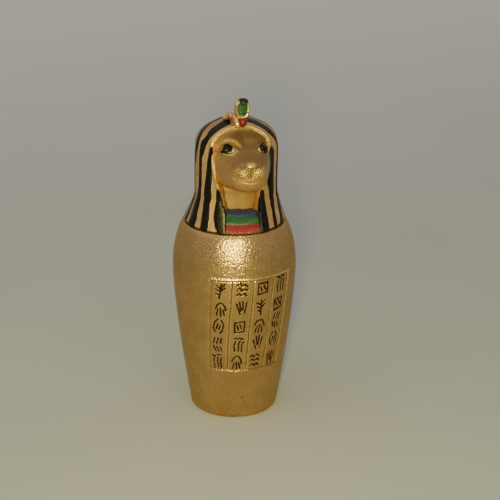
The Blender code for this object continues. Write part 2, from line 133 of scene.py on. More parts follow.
# The face
CHEEK_FORWARD = 12.0
CHEEK_HALF_WIDTH = 12.2
SNOUT_TIP = 28.4
SNOUT_HALF_WIDTH = 5.9
SNOUT_ROUND = 4.0
SNOUT_TOP = 117.6
SNOUT_SQUARENESS = 2.5
SNOUT_STOP = 1.7
FOREHEAD_TOP = 125.5
JAW_BOTTOM = 103.4
CHIN_BOTTOM = 106.0
SKULL = ((0.0, -3.0, 116.5), (13.0, 12.0, 14.5), 2.6, 2.5)
BROW = ((4.8, -12.9, 123.6), (3.6, 2.4, 1.9), 2.0, 2.5)
EYE = ((7.2, -14.9, 120.6), (2.7, 2.2, 1.8), 2.0, 0.4)
NOSE = ((0.0, -26.7, 116.6), (2.5, 1.8, 1.4), 2.1, 0.5)
WHISKER_PAD = ((2.9, -26.0, 113.9), (3.1, 2.9, 2.6), 2.0, 0.8)
NOSE_TOP = ((0.0, -27.6, 117.4), (2.1, 2.4, 1.1), 2.0)  # where a painted highlight brightens the nose
FACE_BACK = -8.0  # the face's carving and paint lie in front of this Y
MUZZLE_FORWARD = (17.0, 20.0)  # how far forward the muzzle's carving begins and is whole
MOUTH_HEIGHT = 110.3
BROW_RIDGE = ((10.6, 121.6), (8.4, 124.2), (6.0, 125.0), (3.8, 124.2), (2.0, 122.2))

# Each eye, seen from the front: its middle, slant and half length; then the reach of its lids
EYE_LEFT = (6.95, 120.5, -12.0, 3.0)
EYE_RIGHT = (7.3, 120.0, -16.0, 2.7)
EYE_UPPER = 2.5
EYE_LOWER = 0.75
IRIS_RADIUS = 1.3
IRIS_MIDDLE = (-0.4, 0.9)
UPPER_LINE = 0.28  # half the width of the black line over each eye
LOWER_LINE = 0.13
PALE_LINE = 0.17

# How far the muzzle's carving stands up
LIP_RAISE = 0.05
DIMPLE_RAISE = 0.4
MOUTH_DEPTH = 0.32
GROOVE_DEPTH = 0.5
NOSTRIL_DEPTH = 0.55
PAD_RAISE = 0.18
PIT_DEPTH = 0.48

# Strengths of the painted highlights that brighten the gold, and of the painted shade that darkens it
HIGHLIGHT_SHARES = {"pads": 0.55, "nose": 0.8, "brow": 0.22, "border": 0.3, "lappets": 0.1}
SHADE_SHARES = {"mask": 0.62, "mask_top": 0.28, "neck": 0.38, "jaw": 0.25, "border": 0.35, "lappets": 0.25,
          "behind": 0.36}

# The whiskers' pits: the pitch of their rows and columns, and the size of each as a share of it
PIT_ROWS = 1.15
PIT_COLUMNS = 1.2
PIT_SIZE = 0.25

# The throat and the collar's three bands
THROAT_RADIUS = 11.3
THROAT_SQUARENESS = 3.0
THROAT_FORWARD = 2.0
THROAT_TOP = 106.0
THROAT_FILLET = 1.2
THROAT_HOLLOW = 1.9  # the cavity's fillet widens by this much beside the throat
COLLAR_TOP = 94.2
COLLAR_EDGES = (LID_BOTTOM, 89.0, 92.2, COLLAR_TOP)  # the heights between the bands
COLLAR_SLOPE = 0.05  # the bands' edges fall by this much per mm to the right
COLLAR_TOP_RADIUS = 14.9
COLLAR_BOTTOM_RADIUS = 21.2
BAND_STEP = 0.35
COLLAR_BEADS = (2.1, 0.09)  # degrees from bead to bead, and how far they stand up

# The cobra on the brow
HOOD_CENTRE = (0.0, -12.5, 136.5)
HOOD_RADII = (3.25, 1.9, 4.6)
HOOD_POWER = 2.2
HOOD_FRONT = (2.1, 3.1, 2.7)  # half width, half height and squareness of the oval on the hood's front
HOOD_FRONT_MIDDLE = (0.0, 136.8)
HOOD_RIM = 0.34
HOOD_SCALES = (1.05, 0.10)  # their pitch and how far they stand up
HOOD_KNOB = ((-2.3, -13.5, 139.0), (1.0, 1.0, 1.1), 2.0)
COBRA_HEAD = ((0.35, -13.2, 139.7), (2.0, 2.0, 1.25), 2.2)
COBRA_CAP = ((0.3, -14.0, 140.2), (1.95, 3.0, 0.95), 2.6)  # the black on the hood's top
BEAD_CENTRE = (0.15, -13.7, 131.3)
BEAD_RADII = (1.7, 1.6, 1.95)

# Its body: behind the hood, (how far behind its centre, how far above), with one radius; the fold beside
# the hood's foot, (x, y, z, radius); and the tail, (x, y, height over the wig, radius)
COBRA_BACK_RADIUS = 1.7
COBRA_BACK = ((3.4, -7.3), (2.4, 0.0), (0.9, 3.2))
COBRA_FOLD = (
    (-1.5, -13.7, 128.7, 1.0), (-2.0, -12.6, 130.9, 1.35), (-2.5, -10.9, 132.9, 1.3),
    (-3.3, -9.4, 132.3, 0.95), (-3.7, -8.0, 132.9, 1.2), (-4.6, -6.6, 131.5, 0.9),
    (-5.4, -5.2, 131.2, 1.05), (-6.2, -4.0, 129.6, 0.7),
)
COBRA_TAIL = (
    (0.0, -9.2, 0.6, 1.2), (-1.5, -8.2, 1.0, 1.3), (-2.9, -6.3, 1.5, 1.5), (-3.5, -3.9, 1.7, 1.6),
    (-3.0, -1.6, 1.2, 1.4), (-1.5, 0.4, 0.6, 1.25), (0.4, 2.2, 0.4, 1.2), (1.2, 4.2, 0.35, 1.1),
    (0.5, 6.2, 0.3, 1.05), (-0.6, 8.0, 0.3, 1.0), (-0.9, 9.5, 0.2, 0.95),
)

# The wig's black stripes: at each height, the inner and the outer edge of each stripe in degrees round
# the wig from straight ahead. A stripe ends where its edges cross, and an edge's last value holds above.
STRIPE_HEIGHTS = (
    85.8, 88, 92, 97, 100, 102, 103.5, 104.6, 110, 115, 118,
    120, 121.2, 122.6, 124, 125.6, 127.3, 128.7, 129.9,
)
LEFT_STRIPES = {
    "lappet": (
        (0, 0, 0, 32, 35, 37, 38.5, 43.5, 48),
        (28, 34, 40.4, 43.9, 44.6, 44.4, 43.9, 40.5, 40),
    ),
    "cheek": (
        (41, 42.4, 46.1, 51.7, 53.2, 52.7, 52.2, 51.8, 51.2, 51.2, 49.9, 47.6, 47.5, 54.5, 56),
        (52, 54, 58.2, 63.8, 65.9, 65.3, 64.9, 64.2, 61.4, 59.5, 57.6, 56.8, 55.6, 48.5, 48),
    ),
    "temple": (
        (61, 62.2, 66.3, 71, 71.9, 70.8, 70.5, 70.2, 69.6, 68.4,
         65.3, 63.5, 63, 63, 63.5, 64.2, 65, 67.2, 71),
        (74.5, 76.6, 79.8, 82, 80.6, 78.4, 77.5, 77.1, 75.9, 75.6,
         74.9, 74, 74.5, 75, 73.4, 73.8, 78, 81, 85),
    ),
    "side": (
        (79.5, 82, 84.5, 87, 88, 91, 91, 91, 91, 85, 80.5, 79, 79.2, 79.6, 80.3, 83.4, 88, 93, 94),
        (89, 93, 97, 99, 100, 101, 101, 101, 101, 97, 92, 88, 88, 89, 91, 98, 104, 106, 104),
    ),
}
RIGHT_STRIPES = {
    "lappet": (
        (0, 0, 0, 24, 26, 31.2, 37.5, 42),
        (31.8, 34.3, 37.2, 41.5, 42.9, 40.6, 35.5, 34),
    ),
    "cheek": (
        (39.5, 42.7, 46.2, 51.3, 51.7, 50.1, 49.1, 48, 47, 47.5, 47.6, 49.5, 55.5, 58),
        (46.5, 49.2, 53, 60.8, 63.8, 63.7, 63.4, 63.3, 63, 62.9, 63, 59.5, 53.5, 50),
    ),
    "temple": (
        (52, 57.1, 63.4, 70, 70.8, 69.4, 68.9, 68.5, 70.5, 72.5,
         72.5, 71.5, 70, 69, 67.5, 66.2, 68, 69.5, 74),
        (66, 69.4, 76, 79.5, 79, 77, 75.5, 75, 78, 79.5,
         78.5, 76.5, 76.5, 77.5, 78.5, 79.5, 81.5, 84, 88),
    ),
    "side": (
        (76, 82, 86, 87, 88, 91, 91, 91, 91, 91, 90, 90, 90, 90, 90, 90, 91, 92, 93),
        (88, 94, 97, 98, 99, 103, 103, 103, 103, 103, 102, 102, 102, 102, 102, 102, 103, 105, 104),
    ),
}
# The back's stripes, as shares of the half circle that is left behind the side stripe
BACK_STRIPES = ((0.125, 0.265), (0.39, 0.53), (0.655, 0.795), (0.92, 1.08))
STRIPE_RAISE = {"lappet": 0.5, "cheek": 0.25, "temple": 0.2, "side": 0.2}
BACK_RAISE = 0.15
LAPPET_WALL = 6.0  # how far the lappet's black reaches into the opening
LAPPET_INNER = 24  # for the swell of a lappet's stripe, its inner edge is taken no nearer the front
CROWN_FROM = 127.0
CROWN_GAP = (2.0, 3.3)  # above that height, the temple stripes stop this far right and left of the middle

# The camera, and the direction in which it sees the vessel
CAMERA_TURN = -11.0
CAMERA_SIDE = 6.7
CAMERA_BACK = 543.2
CAMERA_HEIGHT = 278.1
CAMERA_PITCH = 20.87
CAMERA_ROLL = 0.55
CAMERA_LENS = 97.49

OUTSIDE = -9.0  # the distance inside a shape, for points that are nowhere near it


def fade(value, low, high):
    """0 at low, 1 at high and a smooth slope between them; low may be the greater of the two."""
    t = np.clip((value - low) / (high - low), 0, 1)
    return t * t * (3 - 2 * t)


def bell(value, middle, width):
    """1 in the middle, falling away to 0 on both sides."""
    return np.exp(-(((value - middle) / width) ** 2))


def between(first, second, share):
    return first + (second - first) * share


# ---------------- meshes


def link(name, mesh):
    item = bpy.data.objects.new(name, mesh)
    bpy.context.scene.collection.objects.link(item)
    return item


def ring_skin(name, rings, attributes, foot, crown):
    """A closed skin of rings of points with the same count, between a lowest and a topmost point.

    attributes: named values per ring point, of the same shape as rings; the end points take that of
    the ring beside them.
    """
    rows, count = rings.shape[:2]
    points = np.concatenate([[foot], rings.reshape(-1, 3), [crown]]) * MM
    index = 1 + np.arange(rows * count).reshape(rows, count)
    after = np.roll(index, -1, axis=1)
    quads = np.stack([index[:-1], after[:-1], after[1:], index[1:]], -1).reshape(-1, 4).tolist()
    last = len(points) - 1
    ends = [(0, b, a) for a, b in zip(index[0].tolist(), after[0].tolist())]
    ends += [(a, b, last) for a, b in zip(index[-1].tolist(), after[-1].tolist())]
    mesh = bpy.data.meshes.new(name)
    mesh.from_pydata(points.tolist(), [], quads + ends)
    mesh.update()
    for key, values in attributes.items():
        flat = np.pad(values.reshape(-1), 1, mode="edge")
        layer = mesh.attributes.new(key, "FLOAT", "POINT")
        layer.data.foreach_set("value", flat.astype(np.float32))
    mesh.shade_smooth()
    mesh.set_sharp_from_angle(angle=math.radians(60))
    return link(name, mesh)


def arc(centre, radius, start, end, count):
    angles = np.radians(np.linspace(start, end, count))
    return [(centre[0] + radius * math.cos(a), centre[1] + radius * math.sin(a)) for a in angles]


def revolved(profile, degrees):
    """Rings about the axis, one for each (radius, height), with a point in each of the directions."""
    a = np.radians(degrees)
    level = np.stack([np.sin(a), -np.cos(a), np.zeros(len(a))], -1)
    return np.array([radius * level + (0, 0, height) for radius, height in profile])


# ---------------- the vessel


def jar_radius(z):
    """The outer radius at a height: two power curves that meet, upright, at the belly."""
    below = np.clip((BELLY_HEIGHT - z) / BELLY_HEIGHT, 0, 1)
    above = np.clip((z - BELLY_HEIGHT) / (JAR_HEIGHT - BELLY_HEIGHT), 0, 1)
    waist = (BELLY_RADIUS - BASE_RADIUS) * below**LOWER_BULGE
    return BELLY_RADIUS - waist - (BELLY_RADIUS - RIM_RADIUS) * above**SHOULDER_BULGE


# Marks are a few short strokes each, in units of half a mark's width and height
FEATHER = (
    ((-0.15, -1.0), (0.1, 1.0)),
    ((-0.75, 0.75), (0.0, 0.35)),
    ((0.7, 0.85), (0.05, 0.4)),
    ((-0.8, 0.2), (-0.05, -0.15)),
    ((0.7, 0.3), (0.0, -0.1)),
    ((-0.7, -0.35), (-0.1, -0.6)),
)
WAVES = (
    ((-0.95, 0.75), (-0.5, 1.0), (-0.1, 0.65), (0.35, 0.95), (0.9, 0.7)),
    ((-0.9, 0.1), (-0.45, 0.4), (0.0, 0.05), (0.45, 0.35), (0.95, 0.1)),
    ((-0.85, -0.6), (-0.4, -0.3), (0.05, -0.65), (0.5, -0.35), (0.9, -0.6)),
)
RAYS = (
    ((-0.9, 0.1), (-0.65, 0.6), (-0.15, 0.85), (0.4, 0.75), (0.8, 0.35), (0.95, -0.1)),
    ((-0.5, -0.05), (-0.65, -0.9)),
    ((0.0, 0.1), (0.05, -0.95)),
    ((0.45, -0.05), (0.7, -0.85)),
)
HATCHED_BOX = (
    ((-0.9, 0.6), (0.8, 0.8), (0.95, -0.55), (-0.75, -0.8), (-0.9, 0.6)),
    ((-0.55, 0.25), (-0.1, -0.35)),
    ((0.05, 0.4), (0.5, -0.2)),
)
CRESCENTS = (
    ((-0.35, 0.95), (-0.85, 0.45), (-0.9, -0.35), (-0.45, -0.85)),
    ((0.35, 0.85), (0.8, 0.4), (0.85, -0.4), (0.4, -0.95)),
    ((-0.25, 0.3), (-0.3, -0.35)),
    ((0.25, 0.25), (0.2, -0.4)),
)
FAN = (
    ((-0.9, 0.6), (-0.35, -0.8)),
    ((-0.35, 0.9), (-0.1, -0.3)),
    ((0.25, 0.95), (0.15, -0.3)),
    ((0.9, 0.65), (0.4, -0.75)),
)
TRACKS = (
    ((-0.8, 0.25), (-0.5, 0.95)),
    ((-0.15, 0.2), (0.15, 0.9)),
    ((0.5, 0.15), (0.8, 0.85)),
    ((-0.85, -0.2), (-0.45, -0.85)),
    ((-0.2, -0.25), (0.2, -0.9)),
    ((0.45, -0.3), (0.85, -0.95)),
)
REEDS = (
    ((-0.7, -0.95), (-0.85, -0.1), (-0.6, 0.5)),
    ((0.0, -0.9), (-0.1, 0.05), (0.15, 0.6)),
    ((0.65, -0.95), (0.6, -0.05), (0.85, 0.45)),
    ((-0.95, 0.95), (-0.3, 0.8)),
    ((0.1, 1.0), (0.75, 0.85)),
)
MARK_COLUMNS = (
    (FEATHER, RAYS, CRESCENTS, TRACKS, REEDS),
    (WAVES, FAN, HATCHED_BOX, REEDS, RAYS),
    (HATCHED_BOX, FEATHER, RAYS, FAN, WAVES),
    (REEDS, HATCHED_BOX, TRACKS, CRESCENTS, FAN),
)
MARK_HALF_WIDTH = 2.5
MARK_HALF_HEIGHT = 3.4
STROKE_WIDTH = 0.8
STROKE_DEPTH = 0.16
MARK_WANDER = 0.4
MARK_TILT = 8.0
POINT_WANDER = 0.07

# Small stains on the vessel: degrees from the panel's middle, height, size and strength
STAINS = ((21.5, 79.5, 0.6, 0.9), (12.0, 81.0, 0.45, 0.7), (-6.5, 12.8, 0.8, 0.6),
          (-2.0, 10.6, 1.0, 0.8), (1.5, 8.4, 0.9, 0.7), (6.0, 11.5, 0.6, 0.6))


def panel_strokes():
    """The strokes of every mark, as lines of (across, height) on the panel.

    across is in mm on a vessel of the belly's radius, from the panel's middle.
    """
    hand = random.Random(7)

    def wander(amount):
        return hand.uniform(-amount, amount)

    width = math.radians(PANEL_SPAN) * BELLY_RADIUS
    height = PANEL_TOP - PANEL_BOTTOM
    for column, marks in enumerate(MARK_COLUMNS):
        for row, mark in enumerate(marks):
            middle = (width * ((column + 0.5) / COLUMNS - 0.5) + wander(MARK_WANDER),
                      PANEL_TOP - height * (row + 0.5) / MARKS_PER_COLUMN + wander(MARK_WANDER))
            tilt = math.radians(wander(MARK_TILT))
            for stroke in mark:
                line = []
                for x, y in stroke:
                    x = (x + wander(POINT_WANDER)) * MARK_HALF_WIDTH
                    y = (y + wander(POINT_WANDER)) * MARK_HALF_HEIGHT
                    line.append((middle[0] + x * math.cos(tilt) - y * math.sin(tilt),
                                 middle[1] + x * math.sin(tilt) + y * math.cos(tilt)))
                yield line


def distance_to_line(across, height, points):
    """Distance of each place to a line through points."""
    nearest = np.full(across.shape, np.inf)
    for (x0, y0), (x1, y1) in zip(points, points[1:]):
        dx, dy = x1 - x0, y1 - y0
        t = np.clip(((across - x0) * dx + (height - y0) * dy) / (dx * dx + dy * dy), 0, 1)
        nearest = np.minimum(nearest, np.hypot(across - x0 - t * dx, height - y0 - t * dy))
    return nearest


def ripple(a, b, seed):
    """A smooth wandering value, about -1 to 1, for hand-made lines."""
    phase = random.Random(seed)
    total = 0.0
    for wave in (0.31, 0.83, 1.9):
        first, second = phase.uniform(0, 6), phase.uniform(0, 6)
        total = total + np.sin(a * wave + first) * np.cos(b * wave * 0.8 + second)
    return total / 1.8


def panel_relief(turn, z):
    """Lift off the vessel's wall, dark lines and painted highlight, by degrees from the panel's middle."""
    half = PANEL_SPAN / 2
    scale = math.radians(1) * jar_radius(z)
    inside = np.minimum((half - np.abs(turn)) * scale, np.minimum(z - PANEL_BOTTOM, PANEL_TOP - z))
    inside = inside + PANEL_WANDER * ripple(turn, z, 3)
    at_top = fade(z, PANEL_TOP - 1.0, PANEL_TOP + 0.2)
    at_foot = fade(z, PANEL_BOTTOM + 1.5, PANEL_BOTTOM + 0.5)
    lip, frame_line = bell(inside, *PANEL_LIP), bell(inside, *FRAME_LINE)
    lift = lip * (0.02 + 0.22 * at_top) - 0.16 * frame_line
    lift = lift - PANEL_DEPTH * fade(inside, -0.12, 0.2)
    line = np.maximum(0.6 * frame_line, 0.9 * at_foot * bell(inside, *FOOT_LINE))
    # painted highlight along the panel's lip, strongest along its top
    painted_highlight = lip * (0.15 + 0.85 * at_top) * (1 - at_foot)
    within = fade(inside, 0.0, 0.6)
    for column in range(1, COLUMNS):
        middle = PANEL_SPAN * column / COLUMNS - half
        away = np.abs((turn - middle) * scale + 0.14 * ripple(z * 0.6, 0.0, 10 + column))
        groove = np.clip(1 - (away / LINE_HALF_WIDTH) ** 2, 0, 1) * within
        lift = lift - LINE_DEPTH * groove
        line = np.maximum(line, 0.85 * fade(groove, 0.1, 0.8))
        # painted highlight beside each groove
        painted_highlight = np.maximum(painted_highlight, 0.7 * within * bell(away, 0.55, 0.2))
    return lift, line, painted_highlight


def wall_columns():
    """Directions round the vessel in degrees from the panel's middle, closest together over it."""
    half = PANEL_SPAN / 2 + 1.0
    coarse = np.linspace(half, 360 - half, 122)
    return np.concatenate([np.linspace(-half, half, 205), coarse[1:-1]])


def wall_heights():
    """Heights of the wall's rings, closest together over the panel."""
    return np.concatenate([
        np.arange(2 * FOOT_ROUND, PANEL_BOTTOM - 1.2, 0.95),
        np.arange(PANEL_BOTTOM - 1.0, PANEL_TOP + 1.8, 0.2),
        np.arange(PANEL_TOP + 2.2, JAR_HEIGHT - 1.5 * RIM_ROUND, 0.8),
    ])


def jar_wall(turns):
    """The outside's rings between foot and rim, and what the paint needs to know of their points."""
    turn, z = np.meshgrid(turns, wall_heights())
    lift, line, painted_highlight = panel_relief(turn, z)
    for from_middle, height, size, strength in STAINS:
        away = np.hypot((turn - from_middle) * math.radians(BELLY_RADIUS), z - height)
        line = np.maximum(line, strength * bell(away, 0, size))
    across = np.radians(turn) * BELLY_RADIUS
    half_width = STROKE_WIDTH * (0.5 + 0.12 * ripple(across * 2.3, z * 2.1, 5))
    away = np.minimum.reduce([distance_to_line(across, z, stroke) for stroke in panel_strokes()])
    ink = half_width - away
    radius = jar_radius(z) + lift - STROKE_DEPTH * fade(ink, -0.1, 0.18)
    lean = PANEL_LEAN * np.clip((PANEL_TOP - z) / (PANEL_TOP - PANEL_BOTTOM), 0, 1)
    angle = np.radians(PANEL_CENTRE - lean + turn)
    wall = np.stack([radius * np.sin(angle), -radius * np.cos(angle), z], -1)
    return wall, {"ink": (ink, OUTSIDE), "line": (line, 0.0), "painted_highlight": (painted_highlight, 0.0)}


def make_jar():
    """Rings from the underside's middle, up the outside, over the rim and down to the inside's floor."""
    foot_middle = float(jar_radius(FOOT_ROUND)) - FOOT_ROUND
    under = [(6.0, 0.0), (12.0, 0.0), (foot_middle - 0.6, 0.0)]
    under += arc((foot_middle, FOOT_ROUND), FOOT_ROUND, -90, 0, 6)
    rim_start = JAR_HEIGHT - 1.4 * RIM_ROUND
    rim = [(float(jar_radius(rim_start)), rim_start)]
    rim += arc((RIM_RADIUS - RIM_ROUND, JAR_HEIGHT - RIM_ROUND), RIM_ROUND, 15, 90, 6)
    rim.append((MOUTH_RADIUS + MOUTH_CHAMFER, JAR_HEIGHT))
    inside = [(MOUTH_RADIUS, JAR_HEIGHT - MOUTH_CHAMFER), (MOUTH_RADIUS, SEAT_BOTTOM)]
    for height in np.linspace(SEAT_BOTTOM - SEAT_SLOPE, FLOOR + 2 * FLOOR_ROUND, 12):
        inside.append((float(jar_radius(height)) - WALL, height))
    floor_middle = float(jar_radius(FLOOR)) - WALL - FLOOR_ROUND
    inside += arc((floor_middle, FLOOR + FLOOR_ROUND), FLOOR_ROUND, 0, -90, 6)
    inside.append((6.0, FLOOR))
    turns = wall_columns()
    wall, values = jar_wall(turns)
    lower = revolved(under, PANEL_CENTRE - PANEL_LEAN + turns)
    upper = revolved(rim + inside, PANEL_CENTRE + turns)
    rings = np.concatenate([lower, wall, upper])
    margins = ((len(lower), len(upper)), (0, 0))
    attributes = {key: np.pad(value, margins, constant_values=elsewhere)
                  for key, (value, elsewhere) in values.items()}
    attributes["inner"] = np.zeros(rings.shape[:2])
    attributes["inner"][-len(inside):] = 1.0
    return ring_skin("jar_skin", rings, attributes, (0, 0, 0), (0, 0, FLOOR))


# ---------------- the lid's carved forms
# Each form gives, for points (x, y, z), a distance that is negative inside it.


def rounded_form(p, centre, radii, power):
    """An ellipsoid; a power above 2 squares its sides."""
    reach = np.abs((p - np.array(centre)) / np.array(radii))
    return ((reach**power).sum(-1) ** (1 / power) - 1) * min(radii)


def mirrored(p):
    """Points folded onto the +X side, so that one form stands for a pair."""
    folded = p.copy()
    folded[..., 0] = np.abs(folded[..., 0])
    return folded


def merge(first, second, width):
    """The union of two forms with a fillet."""
    share = np.clip(0.5 + 0.5 * (second - first) / width, 0, 1)
    return second + (first - second) * share - width * share * (1 - share)


def with_form(face, p, centre, radii, power, fillet):
    return merge(face, rounded_form(p, centre, radii, power), fillet)


def turned_back(p, degrees):
    """Points turned about Z, so that a form met there is turned by this much towards +X."""
    cosine, sine = math.cos(math.radians(degrees)), math.sin(math.radians(degrees))
    x, y = p[..., 0], p[..., 1]
    return np.stack([x * cosine + y * sine, y * cosine - x * sine, p[..., 2]], -1)


def wig_frame(p):
    """How far forward the wig's middle is, and its half width, front and back depth, at each height."""
    flare = np.clip((FLARE_TOP - p[..., 2]) / (FLARE_TOP - LID_BOTTOM), 0, 1) ** FLARE_POWER
    sizes = [between(size, LID_RADIUS, flare) for size in (WIG_HALF_WIDTH, WIG_FRONT, WIG_BACK)]
    return WIG_FORWARD * (1 - flare), *sizes


def wig_form(p):
    """The wig's outside: upright below, flaring to the lid's edge, and domed above."""
    x, y, z = p[..., 0], p[..., 1], p[..., 2]
    forward, half_width, front, back = wig_frame(p)
    depth = np.where(-y > forward, front, back)
    rise = np.clip(z - DOME_BASE, 0, None) / DOME_HEIGHT
    around = np.hypot(x / half_width, (y + forward) / depth)
    level = (around**DOME_SQUARENESS + rise**DOME_SQUARENESS) ** (1 / DOME_SQUARENESS)
    return (level - 1) * WIG_FRONT


def wig_angle(p):
    """Degrees from straight ahead, round the wig and over its dome, and the distance from its middle."""
    forward, half_width, _, _ = wig_frame(p)
    rise = np.clip(p[..., 2] - DOME_BASE, 0, None) / DOME_HEIGHT * half_width
    ahead = -p[..., 1] - forward
    reach = np.sqrt(p[..., 0] ** 2 + ahead**2 + rise**2) + 1e-6
    return np.degrees(np.arccos(np.clip(ahead / reach, -1, 1))), reach


def opening_edge(p):
    """Distance to the edge of the wig's opening, seen from the front; negative inside it."""
    x, z = np.abs(p[..., 0]), p[..., 2]
    half_width = between(NECK_HALF_WIDTH, BROW_HALF_WIDTH, fade(z, *CHEEK_HEIGHTS))
    below = np.clip((CHEEK_HEIGHTS[0] - z) / (CHEEK_HEIGHTS[0] - LID_BOTTOM), 0, 1)
    half_width = half_width + (COLLAR_HALF_WIDTH - NECK_HALF_WIDTH) * below
    rise = np.clip((z - BROW_TOP) / BROW_ARCH + 1, 0, None)
    level = np.hypot(x / half_width, rise)
    slope = np.hypot(x / half_width**2, rise / BROW_ARCH) / np.maximum(level, 0.01)
    return (level - 1) / np.maximum(slope, 1 / half_width)


def wig_edge(p):
    """The distance to the opening's edge, growing faster over the crown and behind it."""
    return opening_edge(p) + BORDER_FADE * np.clip(p[..., 1] + BORDER_BACK, 0, None)


def stripe_bands(p):
    """For each black stripe: how far inside its edges a point is, half its width, and its raise."""
    angle, reach = wig_angle(p)
    scale = math.radians(1) * reach
    z, right = p[..., 2], p[..., 0] > 0
    for key, raised in STRIPE_RAISE.items():
        edges = []
        for pair in zip(RIGHT_STRIPES[key], LEFT_STRIPES[key]):
            sides = [np.interp(z, STRIPE_HEIGHTS[: len(edge)], edge) for edge in pair]
            edges.append(np.where(right, *sides))
        inner, outer = edges
        depth = np.minimum(angle - inner, outer - angle) * scale
        if key == "lappet":
            inner = np.maximum(inner, LAPPET_INNER)
            depth = np.minimum.reduce([depth, opening_edge(p) + 0.5, wig_form(p) + LAPPET_WALL])
        if key == "temple":
            gap = np.where(z > CROWN_FROM, np.abs(p[..., 0]) - np.where(right, *CROWN_GAP), -OUTSIDE)
            depth = np.where(z > CHIN_BOTTOM, np.minimum(depth, gap), depth)
        yield depth, np.clip((outer - inner) * scale / 2, 0.4, 3.0), raised
    left_over = 180 - outer
    for low, high in BACK_STRIPES:
        first, second = outer + low * left_over, outer + high * left_over
        depth = np.minimum(angle - first, second - angle) * scale
        yield depth, (second - first) * scale / 2, BACK_RAISE


def stripes(p):
    """How far inside a black stripe each point is, and how far the stripes stand up."""
    black, raised = np.full(p.shape[:-1], OUTSIDE), np.zeros(p.shape[:-1])
    for depth, half, amount in stripe_bands(p):
        black = np.maximum(black, depth)
        across = np.clip(1 - depth / half, 0, 1)
        swell = amount * np.sqrt(np.clip(1 - across**2, 0, 1)) * (depth > 0)
        raised = np.maximum(raised, swell)
    return black, raised


def snout_form(p):
    """The face from cheeks to nose: a squared tube along Y that narrows and slopes down to its tip."""
    x, z = np.abs(p[..., 0]), p[..., 2]
    forward = -p[..., 1]
    along = np.clip((forward - CHEEK_FORWARD) / (SNOUT_TIP - CHEEK_FORWARD), -0.1, 1.0)
    half_width = between(CHEEK_HALF_WIDTH, SNOUT_HALF_WIDTH, along)
    top = between(SNOUT_TOP, FOREHEAD_TOP, (1 - along) ** SNOUT_STOP)
    bottom = between(JAW_BOTTOM, CHIN_BOTTOM, np.clip(along, 0, 1) ** 2)
    middle, half_height = (top + bottom) / 2, (top - bottom) / 2
    power = SNOUT_SQUARENESS
    level = ((x / half_width) ** power + np.abs((z - middle) / half_height) ** power) ** (1 / power)
    rounding = np.clip((forward - SNOUT_TIP + SNOUT_ROUND) / SNOUT_ROUND, 0, None)
    shape = (np.sqrt(level**2 + rounding**2) - 1) * half_width
    return np.maximum(shape, WIG_FORWARD - forward)


def eye_place(p):
    """Along and across the slanted eye, in half lengths and mm from its middle; along grows outward."""
    middle, height, slant, half = [np.where(p[..., 0] > 0, r, l) for l, r in zip(EYE_LEFT, EYE_RIGHT)]
    x, z = np.abs(p[..., 0]) - middle, p[..., 2] - height
    slant = np.radians(slant)
    return (x * np.cos(slant) + z * np.sin(slant)) / half, -x * np.sin(slant) + z * np.cos(slant)


def eye_edges(along):
    """How far the upper and the lower lid stand off the eye's long axis."""
    t = np.clip(1 - along**2, 0, 1)
    return EYE_UPPER * t ** np.where(along > 0, 1.2, 1.6), EYE_LOWER * t**0.8


def eye_opening(p):
    """Distance inside the lids' edges; negative outside them."""
    along, across = eye_place(p)
    upper, lower = eye_edges(along)
    ends = (1 - np.abs(along)) * 2.0
    return np.minimum.reduce([upper - across, across + lower, ends])


def eye_relief(p):
    """The lids round each eye, the crease along their edges and the swell of the ball between them."""
    opening = eye_opening(p)
    along, across = eye_place(p)
    near = (np.abs(along) < 1.6) & (np.abs(across) < 4) & (p[..., 1] < FACE_BACK)
    lids, ball = 0.3 * bell(opening, -0.4, 0.36), 0.3 * fade(opening, 0.05, 0.9)
    return np.where(near, lids + ball - 0.22 * bell(opening, 0, 0.16), 0)


def muzzle_relief(p):
    """Lower lip, the dimples beside it, mouth, the groove above it and nostrils."""
    x, z = p[..., 0], p[..., 2]
    side = np.abs(x)
    mouth_line = MOUTH_HEIGHT - 0.35 * np.cos(side * 0.55) + 0.02 * side**1.6
    mouth = bell(z, mouth_line, 0.34) * fade(side, 5.2, 1.2)
    lip = bell(z, mouth_line - 1.1, 0.75) * fade(side, 3.5, 0.5)
    dimple = bell(side, 7.4, 0.7) * bell(z, MOUTH_HEIGHT + 0.6, 0.7)
    groove = bell(x, 0, 0.32) * fade(z, 111.2, 112.0) * fade(z, 115.8, 115.0)
    nostril = bell(side, 1.2, 0.45) * bell(z, 115.7, 0.38)
    raised = LIP_RAISE * lip + DIMPLE_RAISE * dimple
    return raised - MOUTH_DEPTH * mouth - GROOVE_DEPTH * groove - NOSTRIL_DEPTH * nostril


def whisker_pits(p):
    """How far each point lies on a whisker pad, and in one of the pits on it."""
    side, z = np.abs(p[..., 0]), p[..., 2]
    rows = (z - 112.0 + 0.25 * np.sin(4.1 * p[..., 0])) / PIT_ROWS
    columns = (side - 0.9 + 0.3 * np.sin(5.3 * z + 2.0 * p[..., 0])) / PIT_COLUMNS
    columns = columns + 0.5 * (np.floor(rows) % 2)
    pit = bell(rows % 1, 0.5, PIT_SIZE) * bell(columns % 1, 0.5, PIT_SIZE)
    pad = rounded_form(mirrored(p), *WHISKER_PAD[:3])
    on_pad = fade(pad, 0.9, 0.2) * fade(z, 116.2, 115.7) * fade(side, 0.6, 0.9)
    return on_pad * fade(-p[..., 1], *MUZZLE_FORWARD), pit


def brow_ridge(p, width):
    """How far each point lies on the fine ridge that follows the brow."""
    return bell(distance_to_line(np.abs(p[..., 0]), p[..., 2], BROW_RIDGE), 0, width)


def face_relief(p):
    """Carving finer than the face's forms."""
    on_pad, pit = whisker_pits(p)
    muzzle = muzzle_relief(p) * fade(-p[..., 1], *MUZZLE_FORWARD)
    ridge = 0.12 * brow_ridge(p, 0.75) * (p[..., 1] < FACE_BACK)
    return eye_relief(p) + ridge + muzzle + (PAD_RAISE - PIT_DEPTH * pit) * on_pad


